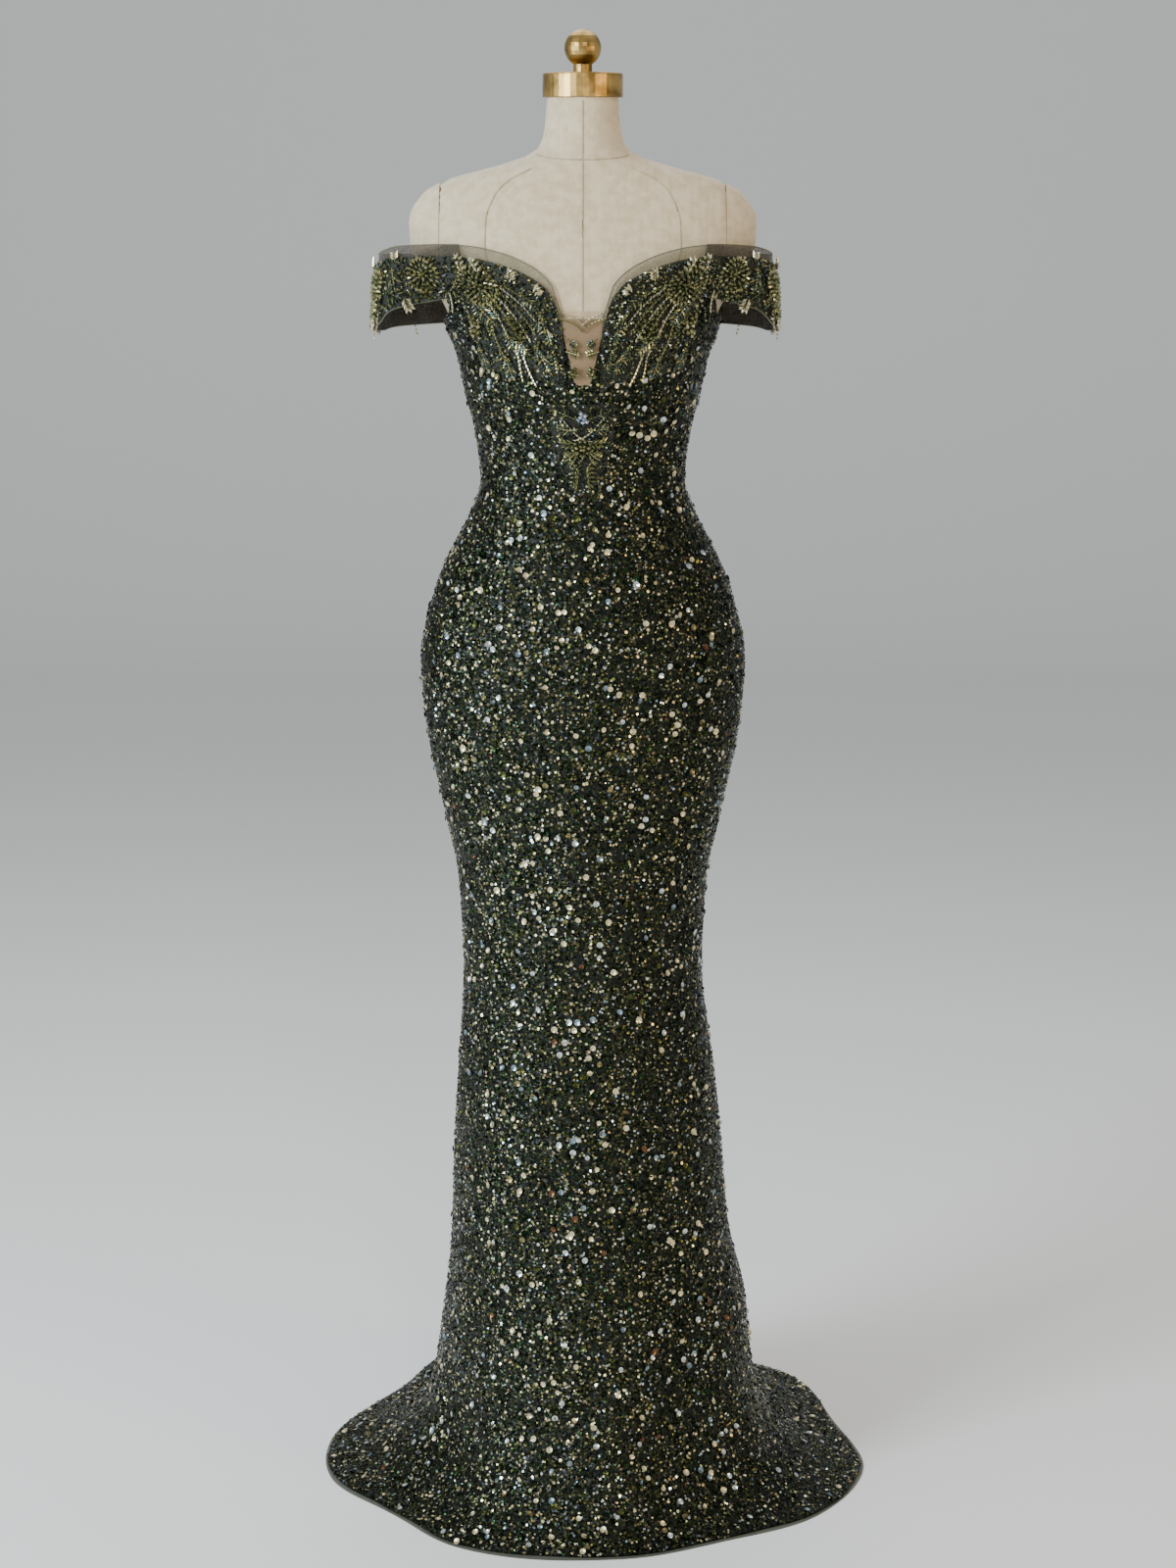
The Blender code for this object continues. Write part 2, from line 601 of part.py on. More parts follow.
def build_neck_cap(material, group):
    """Turned brass disc on the neck."""
    edge = 0.0022
    profile = [(0.0, NECK_CAP_HIGH), (NECK_CAP_RADIUS - edge, NECK_CAP_HIGH)]
    profile += [(NECK_CAP_RADIUS - edge + edge * math.sin(turn), NECK_CAP_HIGH - edge + edge * math.cos(turn))
                for turn in (math.radians(30.0 * i) for i in range(1, 4))]
    profile += [(NECK_CAP_RADIUS, NECK_CAP_LOW), (0.0, NECK_CAP_LOW)]
    lathe("form_neck_cap", profile, material, group)


def build_finial(material, group):
    """Short stem with a ball on the neck cap."""
    foot = NECK_CAP_HIGH + SEAM
    meet = math.asin(FINIAL_STEM_RADIUS / FINIAL_BALL_RADIUS)
    turns = [(math.pi - meet) * i / 12 for i in range(13)]
    profile = [(FINIAL_BALL_RADIUS * math.sin(turn), FINIAL_BALL_HEIGHT + FINIAL_BALL_RADIUS * math.cos(turn))
               for turn in turns]
    profile += [(FINIAL_STEM_RADIUS, foot), (0.0, foot)]
    lathe("form_finial", profile, material, group, segments=28)


def build_stand(material, group):
    """Round foot with its hub, and the pole that carries the torso."""
    lathe("stand_base", [(0.0, HUB_HIGH), (HUB_RADIUS * 0.8, HUB_HIGH), (HUB_RADIUS, BASE_THICK + 0.003),
                         (HUB_RADIUS + 0.006, BASE_THICK), (BASE_RADIUS - 0.003, BASE_THICK),
                         (BASE_RADIUS, BASE_THICK - 0.003), (BASE_RADIUS, 0.0), (0.0, 0.0)],
          material, group)
    top, foot = FORM_HEIGHTS[0] - SEAM, HUB_HIGH + SEAM
    lathe("stand_pole", [(0.0, top), (POLE_RADIUS, top), (POLE_RADIUS, foot), (0.0, foot)],
          material, group, segments=24)


# ---------------------------------------------------------------- build everything
def main():
    """Build the gown, then the form that it stands on."""
    clear_scene()
    group = make_collection("evening_gown_on_form")
    helpers = make_collection("cutters")

    sequins = make_material("green_sequin_net", (0.035, 0.055, 0.040), 0.35, 0.35)
    tulle = make_material("grey_green_tulle", (0.42, 0.41, 0.33), 0.8)
    nude = make_material("nude_mesh", (0.38, 0.25, 0.16), 0.85)
    lace = make_material("olive_beaded_lace", (0.14, 0.14, 0.06), 0.4, 0.3)
    satin = make_material("olive_satin_lining", (0.07, 0.10, 0.05), 0.5)
    linen = make_material("natural_linen", (0.72, 0.66, 0.55), 0.95)
    brass = make_material("brushed_brass", (0.55, 0.40, 0.20), 0.35, 1.0)
    steel = make_material("black_steel", (0.03, 0.03, 0.03), 0.45, 0.4)
    zip_metal = make_material("dark_zip_metal", (0.05, 0.07, 0.05), 0.4, 0.8)

    build_panels(sequins, group)
    build_inset(nude, group)
    build_sheer_edges(tulle, group)
    build_bodice_lace(lace, group)
    build_sleeve(-1.0, "left", tulle, lace, group)
    build_sleeve(1.0, "right", tulle, lace, group)
    build_hem_lining(satin, group)
    build_zip(zip_metal, group, helpers)
    build_torso(linen, group)
    build_shoulder_caps(linen, group)
    build_neck_cap(brass, group)
    build_finial(brass, group)
    build_stand(steel, group)


main()
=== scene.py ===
"""Looks of an off-the-shoulder evening gown in sequinned net, worn by a linen-covered dress form.

Metres, +Z up; the gown faces -Y and +X is the viewer's right hand. The cloth is worked out from the cut's
own sections and folds, sequins and beads are sewn over it as meshes, and brass and steel stay as packed.
"""

import logging
import math
from dataclasses import dataclass, field
from enum import Enum, IntEnum
from functools import partial
from typing import Any, Callable, Sequence

import bmesh
import bpy
import numpy as np
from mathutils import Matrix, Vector

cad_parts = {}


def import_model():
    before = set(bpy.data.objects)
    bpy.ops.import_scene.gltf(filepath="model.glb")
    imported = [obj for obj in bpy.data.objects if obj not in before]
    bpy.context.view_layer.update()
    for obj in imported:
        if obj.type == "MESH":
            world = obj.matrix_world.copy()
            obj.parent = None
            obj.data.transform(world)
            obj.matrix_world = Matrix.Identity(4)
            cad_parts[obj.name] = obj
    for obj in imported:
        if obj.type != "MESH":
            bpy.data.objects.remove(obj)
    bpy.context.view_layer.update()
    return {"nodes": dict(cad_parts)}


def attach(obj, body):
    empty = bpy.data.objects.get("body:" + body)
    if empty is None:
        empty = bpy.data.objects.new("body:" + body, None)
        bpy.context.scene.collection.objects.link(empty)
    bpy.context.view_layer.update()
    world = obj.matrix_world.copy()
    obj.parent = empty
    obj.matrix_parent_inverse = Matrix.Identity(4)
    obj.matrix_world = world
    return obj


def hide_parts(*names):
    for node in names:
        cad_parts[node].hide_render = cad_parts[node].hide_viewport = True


LOG = logging.getLogger("evening_gown")
GOWN_BODY = "gown_on_form"
WAVES_PER_UNIT = 20.0       # waves that a wave pattern draws along one unit, at scale 1


# ---------------------------------------------------------------- the cut of the gown
@dataclass(frozen=True)
class Section:
    """Horizontal section of the cloth's outer face, and of the form above it."""

    height: float
    half_width: float
    front: float                # reach to -Y
    back: float                 # reach to +Y
    widest: float = 0.0         # how far behind the axis it is widest
    sway: float = 0.0           # how far its middle is shifted to +X


@dataclass(frozen=True)
class Fold:
    """Large fold of the skirt; its angle is at the hem, and a ridge has a positive depth."""

    angle: float
    half_width: float           # in degrees
    depth: float
    dies_out: float             # height at which it has run out
    lean: float                 # how many degrees it wanders round on its way up


@dataclass(frozen=True)
class NeckEdge:
    """Heights of the sequinned cloth's edge and of the tulle's edge at an angle."""

    angle: float
    cloth: float
    tulle: float


@dataclass(frozen=True)
class Rib:
    """Line across a sleeve band: on the bodice at an angle, or free at a place beside it."""

    angle: float                # zero for a free rib
    reach: float                # a free rib's distance from the axis, to its side
    along: float                # a free rib's place along Y
    low: float
    high: float


def smooth_table(places: Sequence[float], values: Sequence[float], at: np.ndarray) -> np.ndarray:
    """Reads a table with a smooth curve that never overshoots its rows.

    Args:
        places: Where each row stands.
        values: The value in each row.
        at: Where to read.

    Returns:
        The values there.
    """
    order = np.argsort(places)
    x, y = np.asarray(places, float)[order], np.asarray(values, float)[order]
    slope = np.diff(y) / np.diff(x)
    both = slope[:-1] * slope[1:]
    total = np.where(both > 0.0, slope[:-1] + slope[1:], 1.0)
    tangent = np.concatenate([slope[:1], np.where(both > 0.0, 2.0 * both / total, 0.0), slope[-1:]])
    at = np.clip(at, x[0], x[-1])
    i = np.clip(np.searchsorted(x, at, side="right") - 1, 0, len(x) - 2)
    span = x[i + 1] - x[i]
    t = (at - x[i]) / span
    return (y[i] * (2 * t**3 - 3 * t**2 + 1) + y[i + 1] * (3 * t**2 - 2 * t**3)
            + span * tangent[i] * (t**3 - 2 * t**2 + t) + span * tangent[i + 1] * (t**3 - t**2))


@dataclass
class GownCut:
    """The surface that all pieces of the gown are cut from."""

    hem: float = 0.0035
    waist_split: float = 1.234
    ripple: float = 0.0011          # depth of the fine creases
    ripple_top: float = 0.98        # height at which they have died out
    sections: tuple[Section, ...] = (
        Section(1.602, 0.0455, 0.045, 0.045), Section(1.565, 0.0490, 0.048, 0.050, 0.001),
        Section(1.543, 0.0580, 0.052, 0.060, 0.004), Section(1.529, 0.0930, 0.056, 0.068, 0.006),
        Section(1.512, 0.1560, 0.062, 0.076, 0.006), Section(1.495, 0.1850, 0.070, 0.084, 0.006),
        Section(1.468, 0.2000, 0.082, 0.094, 0.005), Section(1.443, 0.1990, 0.094, 0.100, 0.004),
        Section(1.400, 0.1740, 0.112, 0.104, 0.002), Section(1.365, 0.1560, 0.127, 0.105),
        Section(1.343, 0.1490, 0.132, 0.104), Section(1.322, 0.1405, 0.131, 0.102),
        Section(1.278, 0.1310, 0.120, 0.097), Section(1.234, 0.1200, 0.105, 0.090),
        Section(1.180, 0.1140, 0.096, 0.086), Section(1.146, 0.1250, 0.097, 0.092),
        Section(1.101, 0.1480, 0.103, 0.105, 0.002), Section(1.056, 0.1670, 0.108, 0.118, 0.004),
        Section(0.975, 0.1840, 0.112, 0.132, 0.006), Section(0.900, 0.1780, 0.110, 0.130, 0.006),
        Section(0.800, 0.1580, 0.108, 0.121, 0.004), Section(0.720, 0.1420, 0.108, 0.113, 0.002),
        Section(0.620, 0.1370, 0.112, 0.112), Section(0.503, 0.1470, 0.124, 0.124, 0.002, 0.003),
        Section(0.408, 0.1550, 0.136, 0.140, 0.006, 0.005), Section(0.312, 0.1610, 0.149, 0.160, 0.010, 0.008),
        Section(0.215, 0.1770, 0.166, 0.190, 0.018, 0.015), Section(0.117, 0.1890, 0.190, 0.240, 0.028, 0.015),
        Section(0.060, 0.2100, 0.213, 0.300, 0.034, 0.014), Section(0.028, 0.2450, 0.236, 0.358, 0.038, 0.012),
        Section(0.012, 0.2780, 0.252, 0.402, 0.040, 0.012), Section(0.0035, 0.3130, 0.263, 0.436, 0.040, 0.012),
    )
    folds: tuple[Fold, ...] = (
        Fold(-20, 13, 0.010, 0.78, -34), Fold(-51, 12, -0.016, 0.20, -14), Fold(3, 14, 0.004, 0.45, 4),
        Fold(28, 12, -0.009, 0.64, 26), Fold(58, 15, 0.008, 0.55, 10), Fold(-84, 15, 0.006, 0.20, 2),
        Fold(84, 14, 0.010, 0.12, 0), Fold(104, 13, -0.012, 0.50, 3), Fold(-124, 15, -0.024, 0.56, 4),
        Fold(128, 15, 0.008, 0.66, -4), Fold(-150, 14, 0.018, 0.70, 3), Fold(151, 14, -0.022, 0.52, -2),
        Fold(-168, 9, -0.012, 0.34, 2), Fold(178, 13, 0.018, 0.74, 0),
    )
    neck: tuple[NeckEdge, ...] = (
        NeckEdge(0, 1.292, 1.3645), NeckEdge(3, 1.293, 1.3645), NeckEdge(8, 1.346, 1.3640),
        NeckEdge(11, 1.382, 1.3990), NeckEdge(18, 1.404, 1.4210), NeckEdge(28, 1.418, 1.4350),
        NeckEdge(38, 1.425, 1.4410), NeckEdge(49, 1.427, 1.4430), NeckEdge(56, 1.407, 1.4260),
        NeckEdge(64, 1.381, 1.3900), NeckEdge(74, 1.365, 1.3700), NeckEdge(90, 1.360, 1.3650),
        NeckEdge(112, 1.364, 1.3700), NeckEdge(121, 1.384, 1.3900), NeckEdge(129, 1.404, 1.4210),
        NeckEdge(138, 1.410, 1.4270), NeckEdge(152, 1.404, 1.4210), NeckEdge(166, 1.392, 1.4090),
        NeckEdge(180, 1.386, 1.4030),
    )

    def skin(self, angle: np.ndarray, height: np.ndarray, creased: bool = True) -> np.ndarray:
        """Points of the outer face.

        Args:
            angle: Degrees from the front, towards +X.
            height: Heights, shaped like the angles.
            creased: Whether the fine creases of worn cloth are added to the folds.

        Returns:
            Points, with one more axis than the angles.
        """
        at = [s.height for s in self.sections]
        width, front, back, widest, sway = (
            smooth_table(at, [getattr(s, name) for s in self.sections], height)
            for name in ("half_width", "front", "back", "widest", "sway"))
        depth = np.zeros_like(width)
        for f in self.folds:
            ramp = np.clip(1.0 - height / f.dies_out, 0.0, 1.0) ** 1.3
            away = (angle - f.angle - f.lean * height / f.dies_out + 180.0) % 360.0 - 180.0
            bell = np.cos(np.radians(np.clip(away / f.half_width * 45.0, -90.0, 90.0))) ** 2
            depth += f.depth * ramp * bell
        if creased:
            fade = np.clip(1.0 - height / self.ripple_top, 0.0, 1.0)
            a = np.radians(angle)
            wide, middle = np.sin(7 * a + 9 * height), np.sin(13 * a - 14 * height + 1)
            depth += self.ripple * fade * (wide + 0.7 * middle + 0.5 * np.sin(22 * a + 23 * height + 2))
        turn = np.radians(angle)
        reach = np.where(np.cos(turn) > 0.0, front + widest, back - widest)
        return np.stack([sway + (width + depth) * np.sin(turn), widest - (reach + depth) * np.cos(turn),
                         height], axis=-1)

    def point(self, angle: np.ndarray, height: np.ndarray, out: float | np.ndarray = 0.0,
              creased: bool = True) -> np.ndarray:
        """Points moved out along the surface's normal.

        Args:
            angle: Degrees from the front, towards +X.
            height: Their heights.
            out: How far they are moved.
            creased: Whether the fine creases of worn cloth are added to the folds.

        Returns:
            Points, with one more axis than the angles.
        """
        angle, height = np.broadcast_arrays(np.asarray(angle, float), np.asarray(height, float))
        across = self.skin(angle + 0.5, height, creased) - self.skin(angle - 0.5, height, creased)
        low = np.maximum(height - 0.002, self.hem)
        rise = self.skin(angle, height + 0.002, creased) - self.skin(angle, low, creased)
        return self.skin(angle, height, creased) + unit(np.cross(across, rise)) * np.asarray(out)[..., None]

    def edge(self, angle: np.ndarray, name: str) -> np.ndarray:
        """Height at some angles of the edge that is named, "cloth" or "tulle"."""
        heights = [getattr(n, name) for n in self.neck]
        return smooth_table([n.angle for n in self.neck], heights, np.abs(angle))


def unit(vectors: np.ndarray) -> np.ndarray:
    """Vectors of length one."""
    return vectors / np.maximum(np.linalg.norm(vectors, axis=-1, keepdims=True), 1e-12)


CUT = GownCut()
RNG = np.random.default_rng(1712)


# ---------------------------------------------------------------- patches of cloth
@dataclass
class Patch:
    """Grid of points on one face of a piece of cloth: columns run round it, rows run up."""

    points: np.ndarray

    @property
    def normals(self) -> np.ndarray:
        """Normals at the grid's points."""
        return unit(np.cross(np.gradient(self.points, axis=0), np.gradient(self.points, axis=1)))

    def cells(self) -> np.ndarray:
        """Area of each cell."""
        p = self.points
        return np.linalg.norm(np.cross(p[1:, 1:] - p[:-1, :-1], p[:-1, 1:] - p[1:, :-1]), axis=-1) / 2.0

    def flat(self) -> tuple[float, float, float]:
        """Width, length and area of the piece before it was sewn and hung."""
        across = np.linalg.norm(np.diff(self.points, axis=0), axis=-1).sum(0).max()
        along = np.linalg.norm(np.diff(self.points, axis=1), axis=-1).sum(1).max()
        least = 0.305 * across * along      # a narrow point is cut with wide seam allowances
        return float(across), float(along), float(np.clip(self.cells().sum(), least, across * along))

    def locate(self, u: np.ndarray, v: np.ndarray) -> tuple[np.ndarray, np.ndarray, np.ndarray]:
        """Places on the patch.

        Args:
            u: Columns, as fractions of the way round, from 0 to 1.
            v: Rows, as fractions of the way up.

        Returns:
            Points, normals, and directions across the patch.
        """
        n, m = self.points.shape[:2]
        x, y = np.clip(u, 0, 1) * (n - 1), v * (m - 1)
        i, j = np.minimum(x.astype(int), n - 2), np.clip(y.astype(int), 0, m - 2)
        s, t = (x - i)[..., None], (y - j)[..., None]

        def mix(grid: np.ndarray) -> np.ndarray:
            """Values of a grid, mixed from the four corners of each cell."""
            return ((grid[i, j] * (1 - s) + grid[i + 1, j] * s) * (1 - t)
                    + (grid[i, j + 1] * (1 - s) + grid[i + 1, j + 1] * s) * t)

        across = unit(self.points[i + 1, j] - self.points[i, j])
        return mix(self.points), unit(mix(self.normals)), across

    def scatter(self, count: int) -> tuple[np.ndarray, np.ndarray]:
        """Evenly spread random places.

        Args:
            count: How many.

        Returns:
            Their fractions of the way round, and of the way up.
        """
        area = self.cells()
        chosen = RNG.choice(area.size, size=count, p=(area / area.sum()).ravel())
        i, j = np.unravel_index(chosen, area.shape)
        return ((i + RNG.random(count)) / area.shape[0], (j + RNG.random(count)) / area.shape[1])


def new_piece(name: str, points: np.ndarray, faces: Sequence[Any], material: bpy.types.Material | None = None,
              smooth: bool = True) -> bpy.types.Object:
    """Object from points and faces.

    Args:
        name: The piece's name.
        points: An array of points.
        faces: Lists of point numbers.
        material: Finish of the whole piece.
        smooth: Whether its faces are shaded smooth.

    Returns:
        The piece, riding on the gown's body.
    """
    mesh = bpy.data.meshes.new(name)
    mesh.from_pydata(np.asarray(points).reshape(-1, 3).tolist(), [], faces if isinstance(faces, list)
                     else faces.tolist())
    mesh.update()
    if smooth:
        mesh.shade_smooth()
    thing = bpy.data.objects.new(name, mesh)
    bpy.context.scene.collection.objects.link(thing)
    if material:
        mesh.materials.append(material)
    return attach(thing, GOWN_BODY)


def sew_shell(name: str, patch: Patch, thick: float, material: bpy.types.Material,
              replaced: Sequence[str]) -> bpy.types.Object:
    """Closed thin shell behind a patch.

    Args:
        name: The piece's name.
        patch: Its outer face.
        thick: Its thickness.
        material: Its finish.
        replaced: CAD nodes that it stands for.

    Returns:
        The piece.
    """
    n, m = patch.points.shape[:2]
    inner = patch.points - patch.normals * thick
    number = np.arange(n * m).reshape(n, m)
    a, b, c, d = number[:-1, :-1], number[1:, :-1], number[1:, 1:], number[:-1, 1:]
    outside = np.stack([a, b, c, d], -1).reshape(-1, 4)
    inside = outside[:, ::-1] + n * m
    rim = np.concatenate([number[::-1, 0], number[0, 1:], number[1:, -1], number[-1, -2:0:-1]])
    after = np.roll(rim, -1)
    edge = np.stack([rim, after, after + n * m, rim + n * m], -1)
    shell = new_piece(name, np.concatenate([patch.points.reshape(-1, 3), inner.reshape(-1, 3)]),
                      np.concatenate([outside, inside, edge]), material)
    shell.data.set_sharp_from_angle(angle=math.radians(60.0))
    if replaced:
        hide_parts(*replaced)
    LOG.info("%s: %d faces", name, len(shell.data.polygons))
    return shell


# ---------------------------------------------------------------- finishes
def linear(colour: str) -> tuple[float, float, float, float]:
    """Linear colour from an sRGB hex value."""
    parts = [int(colour[i:i + 2], 16) / 255.0 for i in (0, 2, 4)]
    return (*[p / 12.92 if p <= 0.04045 else ((p + 0.055) / 1.055) ** 2.4 for p in parts], 1.0)


def add_node(tree: bpy.types.NodeTree, kind: str, settings: dict[str | int, Any] | None = None,
             links: dict[str | int, bpy.types.NodeSocket] | None = None) -> bpy.types.Node:
    """Adds a node, sets its values and links its inputs.

    Args:
        tree: Where it goes.
        kind: Its type's name.
        settings: Properties by name, input values by socket name or number, and the (place, hex colour)
            stops of a colour ramp under "stops".
        links: Outputs of other nodes, by this node's input.

    Returns:
        The node.
    """
    node = tree.nodes.new(kind)
    for name, value in (settings or {}).items():
        if name == "stops":
            band = node.color_ramp.elements
            while len(band) < len(value):
                band.new(0.5)
            for element, (place, colour) in zip(band, value):
                element.position, element.color = place, linear(colour)
        elif isinstance(name, int) or name in node.inputs:
            node.inputs[name].default_value = value
        else:
            setattr(node, name, value)
    for name, output in (links or {}).items():
        tree.links.new(output, node.inputs[name])
    return node


@dataclass(frozen=True)
class Finish:
    """Plain finish: one colour and how it reflects."""

    name: str
    colour: str
    roughness: float = 0.5
    metallic: float = 0.0
    sheen: float = 0.0
    coat: float = 0.0

    def start(self) -> tuple[bpy.types.Material, bpy.types.NodeTree, bpy.types.Node]:
        """Material with its values set, its tree and its shader."""
        material = bpy.data.materials.new(self.name)
        material.use_nodes = True
        tree = material.node_tree
        shader = tree.nodes["Principled BSDF"]
        values = {"Base Color": linear(self.colour), "Roughness": self.roughness, "Metallic": self.metallic,
                  "Sheen Weight": self.sheen, "Coat Weight": self.coat}
        for name, value in values.items():
            shader.inputs[name].default_value = value
        return material, tree, shader

    def make(self) -> bpy.types.Material:
        """The material."""
        return self.start()[0]


@dataclass(frozen=True)
class SequinGround(Finish):
    """Net sewn with cup sequins too small to model: each cell of the pattern is one, tilted its own way."""

    spangle_mm: float = 2.4     # across a sequin
    tilt: float = 0.9           # how far a sequin's face leans, as a share of its normal
    gloss: tuple[float, float] = (0.22, 0.5)
    # share of the sequins up to which each shade is used, from nearly black green to a few pale ones
    shades: tuple[tuple[float, str], ...] = (
        (0.0, "030502"), (0.30, "070c05"), (0.55, "0e160a"), (0.72, "1b2413"), (0.86, "353a20"),
        (0.95, "6f6a50"), (0.985, "bdb598"))

    def make(self) -> bpy.types.Material:
        """The material."""
        material, tree, shader = self.start()
        place = add_node(tree, "ShaderNodeTexCoord").outputs["Object"]
        cells = add_node(tree, "ShaderNodeTexVoronoi", {"Scale": 1000.0 / self.spangle_mm, "Randomness": 1.0},
                         {"Vector": place})
        split = add_node(tree, "ShaderNodeSeparateColor", links={"Color": cells.outputs["Color"]})
        colour = add_node(tree, "ShaderNodeValToRGB", {"stops": self.shades}, {"Fac": split.outputs["Red"]})
        colour.color_ramp.interpolation = "CONSTANT"
        shine = add_node(tree, "ShaderNodeMapRange", {"To Min": self.gloss[0], "To Max": self.gloss[1]},
                         {"Value": split.outputs["Green"]})
        offset = add_node(tree, "ShaderNodeVectorMath", {"operation": "SUBTRACT", 1: (0.5, 0.5, 0.5)},
                          {0: cells.outputs["Color"]})
        turned = add_node(tree, "ShaderNodeVectorMath", {"operation": "SCALE", "Scale": self.tilt},
                          {0: offset.outputs["Vector"]})
        face = add_node(tree, "ShaderNodeNewGeometry").outputs["Normal"]
        total = add_node(tree, "ShaderNodeVectorMath", {"operation": "ADD"},
                         {0: face, 1: turned.outputs["Vector"]})
        lean = add_node(tree, "ShaderNodeVectorMath", {"operation": "NORMALIZE"},
                        {0: total.outputs["Vector"]})
        tree.links.new(colour.outputs["Color"], shader.inputs["Base Color"])
        tree.links.new(shine.outputs["Result"], shader.inputs["Roughness"])
        tree.links.new(lean.outputs["Vector"], shader.inputs["Normal"])
        return material


@dataclass(frozen=True)
class Net(Finish):
    """Knitted net or tulle: mostly holes, so the light comes through between its threads."""

    hole_mm: float = 1.6        # drawn coarser than real tulle, which would not show
    cover_from: float = 0.30
    cover_to: float = 0.65

    def make(self) -> bpy.types.Material:
        """The material."""
        material, tree, shader = self.start()
        place = add_node(tree, "ShaderNodeTexCoord").outputs["Object"]
        holes = add_node(tree, "ShaderNodeTexVoronoi", {"feature": "DISTANCE_TO_EDGE",
                                                         "Scale": 1000.0 / self.hole_mm}, {"Vector": place})
        cover = add_node(tree, "ShaderNodeMapRange", {"From Max": 0.25, "To Min": self.cover_to,
                                                      "To Max": self.cover_from},
                         {"Value": holes.outputs["Distance"]})
        tree.links.new(cover.outputs["Result"], shader.inputs["Alpha"])
        return material


@dataclass(frozen=True)
class Woven(Finish):
    """Plain weave: two sets of threads raise a fine grid, with slubs that vary its colour."""

    second: str = "a89a80"
    thread_mm: float = 1.3      # drawn coarser than the real 0.6 mm thread so that it shows
    thread_rise: float = 0.0004
    depth: float = 0.25

    def make(self) -> bpy.types.Material:
        """The material."""
        material, tree, shader = self.start()
        place = add_node(tree, "ShaderNodeTexCoord").outputs["Object"]
        warp, weft = (
            add_node(tree, "ShaderNodeTexWave", {
                "bands_direction": direction, "Scale": 1000.0 / self.thread_mm / WAVES_PER_UNIT,
                "Distortion": 1.2, "Detail": 2.0}, {"Vector": place}).outputs["Fac"]
            for direction in ("X", "Z"))
        height = add_node(tree, "ShaderNodeMath", {"operation": "ADD"}, {0: warp, 1: weft})
        slubs = add_node(tree, "ShaderNodeTexNoise", {"Scale": 90.0, "Detail": 6.0}, {"Vector": place})
        colour = add_node(tree, "ShaderNodeValToRGB", {"stops": ((0.35, self.second), (0.62, self.colour))},
                          {"Fac": slubs.outputs["Fac"]})
        bump = add_node(tree, "ShaderNodeBump", {"Strength": self.depth, "Distance": self.thread_rise},
                        {"Height": height.outputs["Value"]})
        tree.links.new(colour.outputs["Color"], shader.inputs["Base Color"])
        tree.links.new(bump.outputs["Normal"], shader.inputs["Normal"])
        return material


@dataclass(frozen=True)
class Brushed(Finish):
    """Turned or coated metal: fine rings streak its roughness, and handling has dulled it."""

    streak_mm: float = 1.5
    worn: str = "8a6f3c"

    def make(self) -> bpy.types.Material:
        """The material."""
        material, tree, shader = self.start()
        place = add_node(tree, "ShaderNodeTexCoord").outputs["Object"]
        stretched = add_node(tree, "ShaderNodeMapping", {"Scale": (40.0, 40.0, 1000.0 / self.streak_mm)},
                             {"Vector": place})
        streaks = add_node(tree, "ShaderNodeTexNoise", {"Scale": 1.0, "Detail": 4.0},
                           {"Vector": stretched.outputs["Vector"]})
        rough = add_node(tree, "ShaderNodeMapRange", {"To Min": self.roughness * 0.7,
                                                      "To Max": self.roughness * 1.5},
                         {"Value": streaks.outputs["Fac"]})
        wear = add_node(tree, "ShaderNodeTexNoise", {"Scale": 45.0, "Detail": 5.0}, {"Vector": place})
        colour = add_node(tree, "ShaderNodeValToRGB", {"stops": ((0.38, self.worn), (0.60, self.colour))},
                          {"Fac": wear.outputs["Fac"]})
        tree.links.new(rough.outputs["Result"], shader.inputs["Roughness"])
        tree.links.new(colour.outputs["Color"], shader.inputs["Base Color"])
        return material


class Spangle(IntEnum):
    """Colours of the sequins and beads, in the order of their material slots."""

    FOREST = 0
    BOTTLE = 1
    OLIVE = 2
    GOLD = 3
    CHAMPAGNE = 4
    SILVER = 5
    BLUE_GREY = 6
    COPPER = 7


# Cut polyester film with a metal coating: each disc is a small tinted mirror.
SPANGLE_FINISHES = (
    Finish("sequin_forest_green_foil", "0f180c", 0.26, 1.0),
    Finish("sequin_bottle_green_foil", "21321f", 0.24, 1.0),
    Finish("sequin_olive_foil", "454a28", 0.26, 1.0),
    Finish("sequin_old_gold_foil", "837a56", 0.26, 1.0),
    Finish("sequin_champagne_foil", "cdc29a", 0.30, 0.8),
    Finish("sequin_silver_foil", "c6cfca", 0.22, 0.9),
    Finish("sequin_blue_grey_foil", "7d8e95", 0.24, 0.9),
    Finish("sequin_copper_foil", "6a4c36", 0.28, 1.0),
)
# Cut glass with a foiled back, in the same order: brighter than the sequins, under a clear coat.
CRYSTAL_FINISHES = (
    Finish("crystal_forest_green_glass", "1a2118", 0.20, 0.6, coat=0.4),
    Finish("crystal_bottle_green_glass", "36443a", 0.20, 0.7, coat=0.4),
    Finish("crystal_olive_glass", "666a42", 0.20, 0.8, coat=0.4),
    Finish("crystal_old_gold_glass", "928d60", 0.22, 0.85, coat=0.4),
    Finish("crystal_champagne_glass", "d0c9a2", 0.22, 0.8, coat=0.4),
    Finish("crystal_silver_glass", "c9cdd8", 0.16, 0.8, coat=0.4),
    Finish("crystal_blue_grey_glass", "8f98ae", 0.18, 0.8, coat=0.4),
    Finish("crystal_copper_glass", "6a4c36", 0.22, 0.8, coat=0.4),
)


